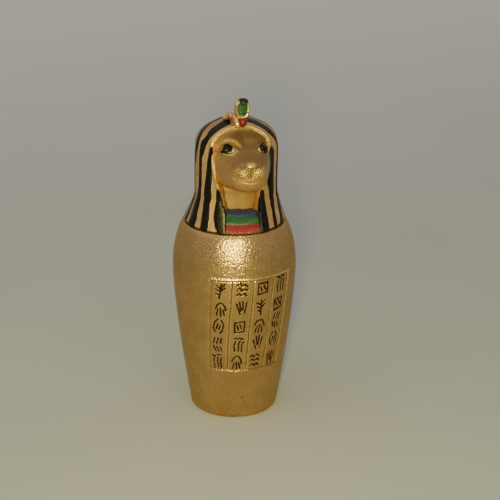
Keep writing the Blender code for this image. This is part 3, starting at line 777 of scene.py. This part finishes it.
def face_form(p):
    """Skull, snout, nose, whisker pads, brows and eyes, as one surface."""
    pair = mirrored(p)
    face = with_form(snout_form(p), p, *SKULL)
    for points, form in ((pair, BROW), (pair, WHISKER_PAD), (p, NOSE), (pair, EYE)):
        face = with_form(face, points, *form)
    return face - face_relief(p)


def collar_band(p):
    """Which band of the collar a point is level with, counted from its top."""
    return np.interp(p[..., 2] + COLLAR_SLOPE * p[..., 0], COLLAR_EDGES, (3, 2, 1, 0), right=-1)


def neck_form(p):
    """The throat and, below it, the collar in three steps."""
    x, y = p[..., 0], p[..., 1]
    power = THROAT_SQUARENESS
    across = (np.abs(x) ** power + np.abs(y + THROAT_FORWARD) ** power) ** (1 / power)
    throat = np.maximum(across - THROAT_RADIUS, p[..., 2] - THROAT_TOP)
    band = collar_band(p)
    step = band % 1
    tread = BAND_STEP * np.sqrt(np.clip(1 - (2 * step - 1) ** 2, 0, 1))
    pitch, raised = COLLAR_BEADS
    beads = raised * np.cos(np.arctan2(x, -y) * 360 / pitch) * np.clip(4 * step * (1 - step), 0, 1)
    radius = between(COLLAR_TOP_RADIUS, COLLAR_BOTTOM_RADIUS, band / 3) + tread + beads
    return np.where(band >= 0, np.minimum(np.hypot(x, y) - radius, throat), throat)


def border_raise(p, edge):
    """How far the border stands off the wig: a broad roll over the brow, a thin one down the cheeks."""
    brow = fade(p[..., 2], *BORDER_HEIGHTS)
    width = between(BORDER_SIDE_WIDTH, BORDER_WIDTH, brow)
    roll = between(BORDER_SIDE_RAISE, BORDER_RAISE, brow) * bell(edge, width / 2, width / 2)
    roll = roll - 0.2 * brow * bell(edge, 0.5, 0.2)
    return np.maximum(roll, 0) * fade(p[..., 2], *BORDER_START)


def head_form(p):
    """The whole carved lid above its edge."""
    edge = wig_edge(p)
    _, raised = stripes(p)
    wig = wig_form(p) - border_raise(p, edge) - raised * (edge > -0.6)
    cavity = np.maximum(opening_edge(p), p[..., 1] + CAVITY_BACK)
    hollowed = np.maximum(wig, -cavity)
    inside = merge(face_form(turned_back(p, FACE_TURN)), neck_form(p), THROAT_FILLET)
    throat = fade(p[..., 2], COLLAR_TOP + 0.5, COLLAR_TOP + 3) * fade(p[..., 2], 108, 104)
    return merge(hollowed, inside, CAVITY_FILLET + THROAT_HOLLOW * throat)


# ---------------- the lid's surface


RAY_REACH = 34.0  # from the middle to outside of everything
RAY_STEPS = 165
NEAR_STEPS = 40
NEAR_MARGIN = 0.8
HALVINGS = 10


def grown(values, pick):
    """The largest or smallest of each value and its neighbours; columns close round."""
    rolled = pick(values, pick(np.roll(values, 1, 1), np.roll(values, -1, 1)))
    above = np.concatenate([rolled[1:], rolled[-1:]])
    below = np.concatenate([rolled[:1], rolled[:-1]])
    return pick(rolled, pick(above, below))


def first_inside(form, origins, directions, steps):
    """The first of the falling distances at which each ray is inside the form, and the one before."""
    near, far = steps[-1].copy(), steps[-1].copy()
    open_ = np.ones(near.shape, bool)
    for before, step in zip(steps, steps[1:]):
        hit = open_ & (form(origins + directions * step[..., None]) < 0)
        near[hit], far[hit] = step[hit], before[hit]
        open_ &= ~hit
    return near, far


def outermost(form, origins, directions, reach=RAY_REACH, skip=4):
    """Where rays coming in from outside first meet a form, as distances from their origins.

    Every skip-th ray is followed all the way; the rest search near what those found.
    """
    some_origins, some_directions = origins[::skip, ::skip], directions[::skip, ::skip]
    steps = [np.full(some_origins.shape[:2], s) for s in np.linspace(reach, 1.0, RAY_STEPS)]
    coarse, _ = first_inside(form, some_origins, some_directions, steps)
    bounds = []
    for pick, margin in ((np.maximum, NEAR_MARGIN), (np.minimum, -NEAR_MARGIN)):
        spread = grown(coarse, pick) + margin
        full = np.repeat(np.repeat(spread, skip, 0), skip, 1)
        bounds.append(full[: origins.shape[0], : origins.shape[1]])
    high, low = bounds
    steps = [between(high, low, share) for share in np.linspace(0, 1, NEAR_STEPS)]
    near, far = first_inside(form, origins, directions, steps)
    for _ in range(HALVINGS):
        middle = (near + far) / 2
        hit = form(origins + directions * middle[..., None]) < 0
        near = np.where(hit, middle, near)
        far = np.where(hit, far, middle)
    return near


# One column on each side, the guide, is led along the edge of the opening, its neighbour just inside
COLUMN_SPANS = ((13.0, 36), (40.0, 45), (82.0, 60), (180.0, 47))  # up to each angle, so many columns
GUIDE = 40.0
GUIDE_LEAST = 22.0
GUIDE_MOST = 65.0
GUIDE_STEP = 0.9
GUIDE_OUTSIDE = 0.1
FINE_FROM = 109  # the rows lie closer together from under the mouth up


def column_angles():
    """Directions round the lid in degrees from the front, closest together over the snout."""
    half = [0.0]
    for end, count in COLUMN_SPANS:
        half += list(np.linspace(half[-1], end, count + 1)[1:])
    half = np.array(half)
    return np.concatenate([-half[::-1][1:-1], half])


def row_rays():
    """The height and upward tilt of each row of rays, from the lid's edge to the crown."""
    heights = [*np.arange(LID_BOTTOM + EDGE_ROUND, FINE_FROM, 0.25), *np.arange(FINE_FROM, DOME_BASE, 0.2)]
    tilts = np.radians([*np.arange(0, 62, 0.75), *np.arange(62, 89.5, 1.25)])
    return np.array([(z, 0.0) for z in heights] + [(DOME_BASE, tilt) for tilt in tilts])


def ray_grid(rows, angles):
    """Origins and directions of rays, from each row's height and tilt and its columns' directions."""
    height, tilt = rows[:, :1], rows[:, 1:]
    turn = np.radians(angles)
    origins = np.zeros((*angles.shape, 3))
    origins[..., 1] = -WIG_FORWARD * fade(height, LID_BOTTOM, THROAT_TOP)
    origins[..., 2] = height
    level = [np.sin(turn) * np.cos(tilt), -np.cos(turn) * np.cos(tilt)]
    return origins, np.stack([*level, np.broadcast_to(np.sin(tilt), angles.shape)], -1)


def carved(form, rows, angles):
    """Where the rays of each row and column meet a form."""
    origins, directions = ray_grid(rows, angles)
    return origins + directions * outermost(form, origins, directions)[..., None]


def led_columns(rows):
    """The columns' directions in each row, with the guides led along the edge of the opening."""
    search = np.broadcast_to(np.linspace(0, GUIDE_MOST, 131), (len(rows), 131))
    edges = opening_edge(carved(wig_form, rows, search))
    plain = column_angles()
    neighbour = np.abs(plain[np.abs(plain) < GUIDE - 0.01]).max()
    led = []
    for angles, edge in zip(search, edges):
        found = max(np.interp(GUIDE_OUTSIDE, edge, angles), GUIDE_LEAST)
        places = (0, found - GUIDE_STEP, found, 180)
        led.append(np.sign(plain) * np.interp(np.abs(plain), (0, neighbour, GUIDE, 180), places))
    return np.array(led)


def eye_paint(face, on_face):
    """How far inside the eyes' black and their pale parts each point of the face lies."""
    along, across = eye_place(face)
    upper, lower = eye_edges(along)
    opening = eye_opening(face)
    half = np.where(face[..., 0] > 0, EYE_RIGHT[3], EYE_LEFT[3])
    along = along * half
    iris = IRIS_RADIUS - np.hypot(along - IRIS_MIDDLE[0], across - IRIS_MIDDLE[1])
    on_upper, on_lower = (along > -2.0) & (along < half + 0.1), (along > 0.2) & (along < half)
    black = np.maximum.reduce([
        np.minimum(iris, opening + 0.05),
        np.where(on_upper, UPPER_LINE - np.abs(across - upper), OUTSIDE),
        np.where(on_lower, LOWER_LINE - np.abs(across + lower), OUTSIDE),
        np.minimum(opening, along - 0.7) + 0.15,
    ])
    under = np.minimum(PALE_LINE - np.abs(across + lower + 0.3), half - np.abs(along + 0.6))
    white = np.minimum(opening - 0.1, -along - 1.0)
    pale = np.maximum(np.where(face[..., 0] < 0, under, OUTSIDE), white)
    near = on_face & (np.abs(along) < 4) & (np.abs(across) < 3.4)
    return np.where(near, black, OUTSIDE), np.where(near, pale, OUTSIDE)


def painted_light_and_shade(p, face, edge, on_face):
    """How far painted highlight brightens each point's gold, and how far painted shade darkens it."""
    x, z = face[..., 0], face[..., 2]
    height = p[..., 2]
    on_pad, pit = whisker_pits(face)
    nose = fade(rounded_form(face, *NOSE_TOP), 0.3, -0.4)
    brow = np.where(x < 0, brow_ridge(face, 0.6), 0)
    # painted highlights on the whisker pads, the nose's top and the left brow ridge, where the light
    # catches them
    painted_highlight = [HIGHLIGHT_SHARES["pads"] * on_pad * (1 - pit), HIGHLIGHT_SHARES["nose"] * nose, HIGHLIGHT_SHARES["brow"] * brow]
    painted_highlight = np.maximum.reduce(painted_highlight) * on_face
    mask = fade(np.hypot(x / 13.0, (z - 120.5) / 9.5), 1.1, 0.6) * (1 - painted_highlight) * on_face
    under_jaw = fade(height, JAW_BOTTOM + 1, JAW_BOTTOM - 2) * (edge < 0)
    border = fade(edge, 0.1, 0.35) * fade(edge, 2.0, 1.5) * fade(height, 100, 106)
    angle, _ = wig_angle(p)
    lappets = fade(angle, 38, 42) * fade(angle, 55, 53) * fade(height, 108, 103)
    lappets = lappets * (edge > 0.3)
    # painted shade over the face's middle, under the jaw, on the border over the brow and beside the
    # lappets
    painted_shade = np.maximum.reduce([
        (SHADE_SHARES["mask"] + SHADE_SHARES["mask_top"] * fade(z, 120.5, 123.0)) * mask,
        (SHADE_SHARES["neck"] + SHADE_SHARES["jaw"] * fade(height, 97.0, 103.0)) * under_jaw,
        SHADE_SHARES["border"] * border * fade(height, *BORDER_HEIGHTS),
        SHADE_SHARES["lappets"] * lappets,
    ])
    # painted shade on the wig's far sides and its crown
    behind = np.maximum(fade(angle, 74, 84), fade(height, 122, 127)) * (edge > 2)
    # painted highlight along the border and on the strips beside the lappets
    painted_highlight = np.maximum.reduce([painted_highlight, HIGHLIGHT_SHARES["border"] * border, HIGHLIGHT_SHARES["lappets"] * lappets])
    return painted_highlight, painted_shade + SHADE_SHARES["behind"] * behind


def head_paint_values(p):
    """What the paint needs to know of each point: which colour it lies in, and how far from its edge."""
    edge = wig_edge(p)
    face = turned_back(p, FACE_TURN)
    on_face = (p[..., 1] < FACE_BACK) & (edge < 0)
    black, _ = stripes(p)
    black = np.minimum(black, edge + np.where(p[..., 2] < CHIN_BOTTOM, 0.6, -0.1))
    hem = np.where(edge > -0.2, LID_BOTTOM + HEM - p[..., 2], OUTSIDE)
    eye_black, pale = eye_paint(face, on_face)
    black = np.maximum.reduce([black, hem, eye_black])
    # painted highlight and painted shade on the gold, from how light falls on the head
    painted_highlight, painted_shade = painted_light_and_shade(p, face, edge, on_face)
    on_pad, pit = whisker_pits(face)
    band = collar_band(p)
    collar = np.where(edge < 0.6, fade(band, -0.9, -0.6), 0.0)
    return {"black": np.clip(black, -3, 3), "pale": np.clip(pale, -3, 3), "band": band, "collar": collar,
            "wig": fade(edge, -0.15, 0.15), "painted_highlight": painted_highlight, "pit": pit * on_pad, "painted_shade": painted_shade}


def make_head():
    """The plug, the lid's flat underside and the carved head, as one closed skin."""
    rows = row_rays()
    angles = led_columns(rows)
    surface = carved(head_form, rows, angles)
    plug_bottom = LID_BOTTOM - PLUG_DEPTH
    profile = [(6.0, plug_bottom), (12.0, plug_bottom), (PLUG_RADIUS - PLUG_CHAMFER, plug_bottom),
               (PLUG_RADIUS, plug_bottom + PLUG_CHAMFER), (PLUG_RADIUS, LID_BOTTOM - 0.02),
               (PLUG_RADIUS + 0.3, LID_BOTTOM), (LID_RADIUS - EDGE_ROUND, LID_BOTTOM)]
    rings = np.concatenate([revolved(profile, angles[0]), surface])
    attributes = {}
    for key, value in head_paint_values(surface).items():
        elsewhere = -1.0 if key in ("black", "pale") else 0.0
        attributes[key] = np.pad(value, ((len(profile), 0), (0, 0)), constant_values=elsewhere)
    crown = rings[-1].mean(0)
    crown[2] = rings[-1][:, 2].max() + 0.01
    return ring_skin("head_skin", rings, attributes, (0, 0, plug_bottom), crown)


# ---------------- the cobra


def hood_oval(p):
    """Distance inside the oval on the hood's front."""
    x, z = p[..., 0] - HOOD_FRONT_MIDDLE[0], p[..., 2] - HOOD_FRONT_MIDDLE[1]
    half_width, half_height, power = HOOD_FRONT
    level = np.abs(x / half_width) ** power + np.abs(z / half_height) ** power
    return (1 - level ** (1 / power)) * half_width


def hood_form(p):
    """The raised hood with a rim round its front, and the head that closes it above."""
    oval = hood_oval(p)
    pitch, raised = HOOD_SCALES
    scales = raised * np.cos(2 * math.pi * (p[..., 2] + 0.25 * p[..., 0] ** 2) / pitch)
    relief = HOOD_RIM * bell(oval, -0.35, 0.35) - 0.2 * fade(oval, 0, 0.3)
    relief = relief + scales * fade(oval, 0.1, 0.5)
    hood = rounded_form(p, HOOD_CENTRE, HOOD_RADII, HOOD_POWER)
    hood = hood - relief * fade(-p[..., 1], 12.6, 13.4)
    hood = merge(hood, rounded_form(p, *HOOD_KNOB), 0.4)
    return merge(hood, rounded_form(p, *COBRA_HEAD), 0.35)


def make_hood():
    low, high = HOOD_CENTRE[2] - HOOD_RADII[2] + 0.3, COBRA_HEAD[0][2] + COBRA_HEAD[1][2] - 0.02
    shares = [*np.linspace(0.03, 0.2, 6), *np.linspace(0.24, 0.94, 58), *np.linspace(0.95, 0.995, 8)]
    angles = np.radians(np.linspace(0, 360, 97)[:-1])
    origins = np.zeros((len(shares), len(angles), 3))
    origins[..., 1] = HOOD_CENTRE[1] - 0.3
    origins[..., 2] = between(low, high, np.array(shares))[:, None]
    directions = np.zeros_like(origins)
    directions[..., 0], directions[..., 1] = np.sin(angles), -np.cos(angles)
    reach = outermost(hood_form, origins, directions, reach=5.0, skip=3)
    points = origins + directions * reach[..., None]
    oval = np.where(points[..., 1] < HOOD_CENTRE[1] + 0.2, hood_oval(points), -3.0)
    foot, crown = points[0].mean(0), points[-1].mean(0)
    foot[2] -= 0.05
    crown[2] += 0.02
    attributes = {"green": oval, "dark": -rounded_form(points, *COBRA_CAP)}
    return ring_skin("cobra_hood", points, attributes, foot, crown)


def ball(name, centre, radii):
    mesh = bpy.data.meshes.new(name)
    shape = bmesh.new()
    bmesh.ops.create_uvsphere(shape, u_segments=48, v_segments=32, radius=1.0)
    for vertex in shape.verts:
        vertex.co = [MM * (c + r * v) for c, r, v in zip(centre, radii, vertex.co)]
    shape.to_mesh(mesh)
    shape.free()
    mesh.shade_smooth()
    return link(name, mesh)


def swept(name, route, radii):
    """A round bar of changing radius along a route, closed at both ends."""
    tangent = np.gradient(route, axis=0)
    tangent /= np.linalg.norm(tangent, axis=1)[:, None]
    side = np.cross(tangent, (0.0, 0.0, 1.0))
    flat = np.cross(tangent, (1.0, 0.0, 0.0))
    side = np.where(np.linalg.norm(side, axis=1)[:, None] > 0.3, side, -flat)
    side /= np.linalg.norm(side, axis=1)[:, None]
    up = np.cross(side, tangent)
    a = np.linspace(0, 2 * math.pi, 33)[:-1, None]
    circle = np.cos(a) * side[:, None] + np.sin(a) * up[:, None]
    return ring_skin(name, route[:, None] + circle * radii[:, None, None], {}, route[0], route[-1])


def rounded_ends(count):
    """Shares of a bar's radius along it: full in its middle, closing in a rounded way at its ends."""
    t = np.linspace(0, 1, count)
    ends = np.clip(np.minimum(t, 1 - t) * count / 7, 0.02, 1)
    return np.sqrt(1 - (1 - ends) ** 2)


def smooth_route(points, count):
    """Places along a smooth curve through points."""
    points = np.array(points)
    ends = np.concatenate([[2 * points[0] - points[1]], points, [2 * points[-1] - points[-2]]])
    places = []
    for t in np.linspace(0, len(points) - 1, count):
        first = min(int(t), len(points) - 2)
        a, b, c, d = ends[first : first + 4]
        s = t - first
        curved = (2 * a - 5 * b + 4 * c - d) * s**2 + (3 * b - a - 3 * c + d) * s**3
        places.append(b + ((c - a) * s + curved) / 2)
    return np.array(places)


def dome_height(x, y):
    """The height of the wig's dome over a place."""
    depth = np.where(-y > WIG_FORWARD, WIG_FRONT, WIG_BACK)
    around = np.hypot(x / WIG_HALF_WIDTH, (y + WIG_FORWARD) / depth)
    return DOME_BASE + DOME_HEIGHT * (1 - around**DOME_SQUARENESS) ** (1 / DOME_SQUARENESS)


def make_cobra_body():
    fold = smooth_route(COBRA_FOLD, 60)
    yield swept("cobra_fold", fold[:, :3], fold[:, 3] * rounded_ends(60))
    _, hood_y, hood_z = HOOD_CENTRE
    back = smooth_route([(0, hood_y + behind, hood_z + above) for behind, above in COBRA_BACK], 40)
    yield swept("cobra_back", back, COBRA_BACK_RADIUS * rounded_ends(40))
    x, y, above, radii = smooth_route(COBRA_TAIL, 120).T
    tail = np.stack([x, y, dome_height(x, y) + above], -1)
    yield swept("cobra_tail", tail, radii * rounded_ends(120))


# ---------------- materials

# Each pair is a paint's own colour and that of its clouds, streaks or flecks
JAR_GOLD = ((0.46, 0.27, 0.122), (0.54, 0.33, 0.15))
FACE_GOLD = ((0.48, 0.27, 0.115), (0.58, 0.34, 0.15))
WIG_GOLD = ((0.64, 0.37, 0.165), (0.76, 0.45, 0.21))
COBRA_GOLD = ((0.64, 0.37, 0.165), (0.74, 0.48, 0.18))
BLACK = ((0.017, 0.014, 0.012), (0.045, 0.039, 0.034))
BLUE = ((0.013, 0.019, 0.085), (0.10, 0.12, 0.24))
GREEN = ((0.008, 0.060, 0.015), (0.05, 0.20, 0.05))
RED = ((0.21, 0.001, 0.009), (0.60, 0.09, 0.08))
LEAF_GREEN = ((0.006, 0.045, 0.005), (0.026, 0.11, 0.012))
BEAD_RED = ((0.13, 0.001, 0.003), (0.20, 0.002, 0.005))
CARD = ((0.39, 0.385, 0.395), (0.415, 0.41, 0.42))
# lighter floor behind the object: painted light that makes up for the lamps falling off with distance
CARD_BEHIND = (0.78, 0.77, 0.74)
BRIGHT_GOLD = (0.95, 0.67, 0.18)
# the dark gold of the painted shade on the head
PAINTED_SHADE_GOLD = (0.13, 0.075, 0.042)
PALE_GOLD = (0.80, 0.60, 0.30)
BRONZE = (0.20, 0.085, 0.022)
INK = (0.016, 0.006, 0.003)
EDGE_TINT = (0.80, 0.72, 0.56)  # keeps the gold's colour where it is seen at a flat angle
STIPPLED_FROM = (55 * MM, 68 * MM)  # the vessel's paint is smoother below these heights


class Paint:
    """A material's nodes, made and linked in short calls; sizes and depths are in mm."""

    def __init__(self, name):
        self.material = bpy.data.materials.new(name)
        self.material.use_nodes = True
        self.tree = self.material.node_tree
        self.shader = self.tree.nodes["Principled BSDF"]
        self.place = self.node("ShaderNodeTexCoord", {}, "Object")

    def feed(self, socket, value):
        if isinstance(value, bpy.types.NodeSocket):
            self.tree.links.new(value, socket)
        elif socket.type == "RGBA":
            socket.default_value = (*value, 1.0)
        else:
            socket.default_value = value

    def node(self, kind, inputs, output=0, **settings):
        """One output of a new node with these inputs and settings."""
        node = self.tree.nodes.new(kind)
        for key, value in settings.items():
            setattr(node, key, value)
        for key, value in inputs.items():
            self.feed(node.inputs[key], value)
        return node.outputs[output]

    def attribute(self, name):
        return self.node("ShaderNodeAttribute", {}, "Fac", attribute_name=name)

    def math(self, operation, *values):
        return self.node("ShaderNodeMath", dict(enumerate(values)), operation=operation)

    def times(self, first, second):
        return self.math("MULTIPLY", first, second)

    def noise(self, size, detail=2.0, roughness=0.5, stretch=None):
        """Noise with lumps of this size."""
        place = self.place
        if stretch:
            place = self.node("ShaderNodeMapping", {"Vector": place, "Scale": stretch})
        inputs = {"Vector": place, "Scale": 1 / (size * MM), "Detail": detail, "Roughness": roughness}
        return self.node("ShaderNodeTexNoise", inputs, "Fac")

    def flakes(self, size):
        """Two values for each flake of this size."""
        inputs = {"Vector": self.place, "Scale": 1 / (size * MM)}
        colour = self.node("ShaderNodeTexVoronoi", inputs, "Color")
        return self.node("ShaderNodeSeparateColor", {0: colour}).node.outputs[:2]

    def along(self, axis):
        """How far along one axis each point lies, in metres."""
        return self.node("ShaderNodeSeparateXYZ", {0: self.place}, axis)

    def spread(self, value, low, high, to_low, to_high, curve="LINEAR"):
        """The value's range from low to high brought to another range."""
        inputs = {"Value": value, "From Min": low, "From Max": high, "To Min": to_low, "To Max": to_high}
        return self.node("ShaderNodeMapRange", inputs, "Result", interpolation_type=curve)

    def step(self, value, low, high):
        """0 below low, 1 above high and a smooth slope between."""
        return self.spread(value, low, high, 0.0, 1.0, "SMOOTHSTEP")

    def varied(self, to_low, to_high, *noise, low=0.3, high=0.7):
        """A number that wanders over a range, with noise of this size, detail and roughness."""
        return self.spread(self.noise(*noise), low, high, to_low, to_high)

    def mix(self, share, first, second):
        """A colour between two."""
        return self.node("ShaderNodeMix", {0: share, 6: first, 7: second}, 2, data_type="RGBA")

    def blend(self, share, first, second):
        """A number between two."""
        return self.node("ShaderNodeMix", {0: share, 2: first, 3: second}, data_type="FLOAT")

    def bump(self, height, strength, depth, below=None):
        """A bumpy normal, over another one where it is given."""
        inputs = {"Strength": strength, "Distance": depth * MM, "Height": height}
        if below is not None:
            inputs["Normal"] = below
        return self.node("ShaderNodeBump", inputs)

    def grain(self, coarse, depth=0.14, share=1.0):
        """The paint's stippled skin, as a normal."""
        skin = self.bump(self.times(self.noise(coarse, 2.0, 0.6), share), 1.0, depth)
        return self.bump(self.noise(2.6), 0.5, 0.12, skin)

    def gold(self, deep, mid):
        """The gold paint's colour: clouds of deeper and lighter gold, and the flakes in it."""
        colour = self.mix(self.step(self.noise(9.0, 4.0, 0.6), 0.35, 0.68), deep, mid)
        light, dark = self.flakes(0.32)
        colour = self.mix(self.times(self.step(light, 0.72, 1.0), 0.25), colour, BRIGHT_GOLD)
        return self.mix(self.times(self.step(dark, 0.8, 1.0), 0.35), colour, deep)

    def finish(self, colour, roughness, metallic, normal):
        surface = {"Base Color": colour, "Roughness": roughness, "Metallic": metallic, "Normal": normal}
        for key, value in surface.items():
            self.feed(self.shader.inputs[key], value)
        return self.material


def jar_paint():
    paint = Paint("jar_gold")
    paint.feed(paint.shader.inputs["Specular Tint"], EDGE_TINT)
    patchiness = paint.noise(1.6, 3.0, 0.6)
    faded = paint.times(paint.attribute("line"), paint.spread(patchiness, 0.3, 0.7, 1.0, 0.55))
    colour = paint.mix(paint.step(faded, 0.15, 0.9), paint.gold(*JAR_GOLD), BRONZE)
    # painted highlight on the panel's lip and beside its grooves
    bright = paint.times(paint.attribute("painted_highlight"), paint.spread(patchiness, 0.35, 0.6, 0.4, 1.0))
    colour = paint.mix(paint.times(bright, 0.75), colour, BRIGHT_GOLD)
    ink = paint.math("ADD", paint.attribute("ink"), paint.varied(-0.08, 0.05, 0.5))
    ink = paint.times(paint.step(ink, -0.05, 0.06), paint.varied(1.0, 0.88, 1.1, high=0.75))
    colour = paint.mix(ink, colour, INK)
    colour = paint.mix(paint.times(paint.attribute("inner"), 0.6), colour, BRONZE)
    upper = paint.step(paint.along("Z"), *STIPPLED_FROM)
    satin = paint.varied(0.24, 0.32, 3.0, 3.0, 0.6)
    stippled = paint.varied(0.12, 0.36, 0.9, 2.0, 0.6, low=0.35, high=0.65)
    roughness = paint.blend(ink, paint.blend(upper, satin, stippled), 0.7)
    grain = paint.grain(0.9, 0.27, paint.spread(upper, 0.0, 1.0, 0.45, 1.0))
    return paint.finish(colour, roughness, paint.blend(ink, 0.94, 0.85), grain)


def collar_colour(paint):
    """The collar's three bands, each with its flecks."""
    band = paint.math("ADD", paint.attribute("band"), paint.varied(-0.09, 0.09, 1.3))
    fleck = paint.noise(0.45, 3.0, 0.7)
    blue = paint.mix(paint.step(fleck, 0.56, 0.66), *BLUE)
    green = paint.mix(paint.step(fleck, 0.58, 0.74), *GREEN)
    red = paint.mix(paint.step(fleck, 0.56, 0.68), *RED)
    upper_two = paint.mix(paint.step(band, 0.97, 1.03), blue, green)
    return paint.mix(paint.step(band, 1.97, 2.03), upper_two, red)


def head_paint():
    paint = Paint("head_paint")
    painted_shade = paint.attribute("painted_shade")
    face = paint.mix(paint.times(paint.attribute("pit"), 0.85), paint.gold(*FACE_GOLD), BRONZE)
    colour = paint.mix(paint.attribute("wig"), face, paint.gold(*WIG_GOLD))
    # painted shade darkens the gold over the face's middle, under the jaw and on the wig's far side
    colour = paint.mix(painted_shade, colour, PAINTED_SHADE_GOLD)
    # painted highlight brightens the gold on the nose, whisker pads, left brow and border
    painted_highlight = paint.times(paint.attribute("painted_highlight"), paint.varied(0.35, 1.0, 0.7, 3.0, low=0.38, high=0.58))
    colour = paint.mix(painted_highlight, colour, BRIGHT_GOLD)
    pale = paint.step(paint.attribute("pale"), -0.06, 0.10)
    colour = paint.mix(paint.times(pale, 0.8), colour, PALE_GOLD)
    on_collar = paint.step(paint.attribute("collar"), 0.1, 0.3)
    colour = paint.mix(on_collar, colour, collar_colour(paint))
    sway = paint.varied(-0.2, 0.2, 4.0, 2.0, 0.4, low=0.25, high=0.75)
    waver = paint.math("ADD", sway, paint.varied(-0.035, 0.035, 0.7, low=0.25, high=0.75))
    black = paint.step(paint.math("ADD", paint.attribute("black"), waver), -0.05, 0.05)
    streaks = paint.noise(0.6, 3.0, 0.6, (1, 1, 0.12))
    colour = paint.mix(black, colour, paint.mix(paint.step(streaks, 0.5, 0.75), *BLACK))
    metallic = paint.blend(on_collar, paint.blend(black, 0.9, 0.85), 0.0)
    rough_gold = paint.blend(painted_highlight, paint.varied(0.42, 0.52, 2.2, 3.0, 0.6), 0.22)
    rough_gold = paint.blend(painted_shade, rough_gold, 0.72)
    rough_paint = paint.spread(streaks, 0.3, 0.7, 0.28, 0.42)
    roughness = paint.blend(paint.math("MAXIMUM", black, on_collar), rough_gold, rough_paint)
    return paint.finish(colour, roughness, metallic, paint.bump(streaks, 0.2, 0.08, paint.grain(0.7)))


def hood_paint():
    paint = Paint("cobra_paint")
    waver = paint.varied(-0.12, 0.12, 0.8)
    green, dark = [paint.step(paint.math("ADD", paint.attribute(key), waver), -0.04, 0.06)
                   for key in ("green", "dark")]
    leaf = paint.mix(paint.step(paint.noise(0.6, 3.0), 0.45, 0.7), *LEAF_GREEN)
    colour = paint.mix(dark, paint.mix(green, paint.gold(*COBRA_GOLD), leaf), BLACK[0])
    metallic = paint.blend(green, paint.blend(dark, 0.9, 0.6), 0.0)
    roughness = paint.blend(paint.math("MAXIMUM", dark, green), paint.varied(0.22, 0.32, 1.2), 0.5)
    return paint.finish(colour, roughness, metallic, paint.grain(0.6))


def cobra_paint():
    paint = Paint("cobra_gold")
    return paint.finish(paint.gold(*COBRA_GOLD), paint.varied(0.22, 0.32, 1.2), 0.9, paint.grain(0.6))


def bead_paint():
    paint = Paint("bead_red")
    colour = paint.mix(paint.step(paint.noise(0.7), 0.4, 0.7), *BEAD_RED)
    return paint.finish(colour, paint.varied(0.28, 0.4, 1.0), 0.0, paint.grain(0.8))


def floor_paint():
    paint = Paint("floor_card")
    front = paint.mix(paint.step(paint.noise(120.0, 3.0), 0.3, 0.7), *CARD)
    # lighter towards the back: painted light against the lamps' falloff
    colour = paint.mix(paint.step(paint.along("Y"), -0.1, 1.2), front, CARD_BEHIND)
    return paint.finish(colour, 0.85, 0.0, paint.bump(paint.noise(1.2, 3.0), 0.1, 0.05))


# ---------------- the studio


WORLD_COLOUR = (1.0, 1.0, 0.88, 1.0)
WORLD_STRENGTH = 0.45
FLOOR_RADIUS = 4.0
LIT_HEIGHT = 70 * MM  # the lights face this height on the object's axis


def camera_view():
    """The camera's place and directions before it rolls: X is right, Y up and -Z forward."""
    place = Vector((CAMERA_SIDE, -CAMERA_BACK, CAMERA_HEIGHT)) * MM
    turn = Matrix.Rotation(math.radians(CAMERA_TURN), 4, "Z")
    return turn @ Matrix.Translation(place) @ Matrix.Rotation(math.radians(90 - CAMERA_PITCH), 4, "X")


def make_camera():
    data = bpy.data.cameras.new("camera")
    data.sensor_width = 36.0
    data.lens = CAMERA_LENS
    data.clip_start, data.clip_end = 0.01, 20.0
    camera = link("camera", data)
    camera.matrix_world = camera_view() @ Matrix.Rotation(math.radians(CAMERA_ROLL), 4, "Z")
    bpy.context.scene.camera = camera


def area_light(name, place, size, power, colour):
    """A round light that faces the object; its place and size are in metres."""
    data = bpy.data.lights.new(name, "AREA")
    data.shape = "DISK"
    data.size = size
    data.energy = power
    data.color = colour
    light = link(name, data)
    towards = Vector((0, 0, LIT_HEIGHT)) - place
    facing = towards.to_track_quat("-Z", "Y").to_matrix().to_4x4()
    light.matrix_world = Matrix.Translation(place) @ facing


def make_studio():
    floor = bpy.data.meshes.new("floor")
    shape = bmesh.new()
    bmesh.ops.create_circle(shape, cap_ends=True, segments=96, radius=FLOOR_RADIUS)
    shape.to_mesh(floor)
    shape.free()
    floor = link("floor", floor)
    floor.data.materials.append(floor_paint())
    world = bpy.data.worlds.new("studio")
    world.use_nodes = True
    background = world.node_tree.nodes["Background"]
    background.inputs["Color"].default_value = WORLD_COLOUR
    background.inputs["Strength"].default_value = WORLD_STRENGTH
    bpy.context.scene.world = world
    view = camera_view()
    area_light("near_lens", view @ Vector((-0.02, -0.03, 0)), 0.04, 3.3, (1.0, 0.98, 0.22))
    area_light("round_lens", view @ Vector((0, 0.12, 0)), 0.6, 0.5, (1.0, 0.98, 0.95))
    area_light("overhead", Vector((-0.5, 0.0, 1.3)), 2.4, 4.2, (1.0, 1.0, 0.94))


# ---------------- everything together


def main():
    make_camera()
    make_studio()
    jar = make_jar()
    jar.data.materials.append(jar_paint())
    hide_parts("jar")
    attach(jar, "root")
    head = make_head()
    head.data.materials.append(head_paint())
    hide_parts("head_lid")
    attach(head, "root")
    turn = Matrix.Rotation(math.radians(COBRA_TURN), 4, "Z")
    hood = make_hood()
    hood.data.materials.append(hood_paint())
    bead = ball("cobra_bead", BEAD_CENTRE, BEAD_RADII)
    bead.data.materials.append(bead_paint())
    bodies = list(make_cobra_body())
    gold = cobra_paint()
    for piece in bodies:
        piece.data.materials.append(gold)
    for piece in [hood, bead, *bodies]:
        piece.data.transform(turn)
        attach(piece, "root")


main()
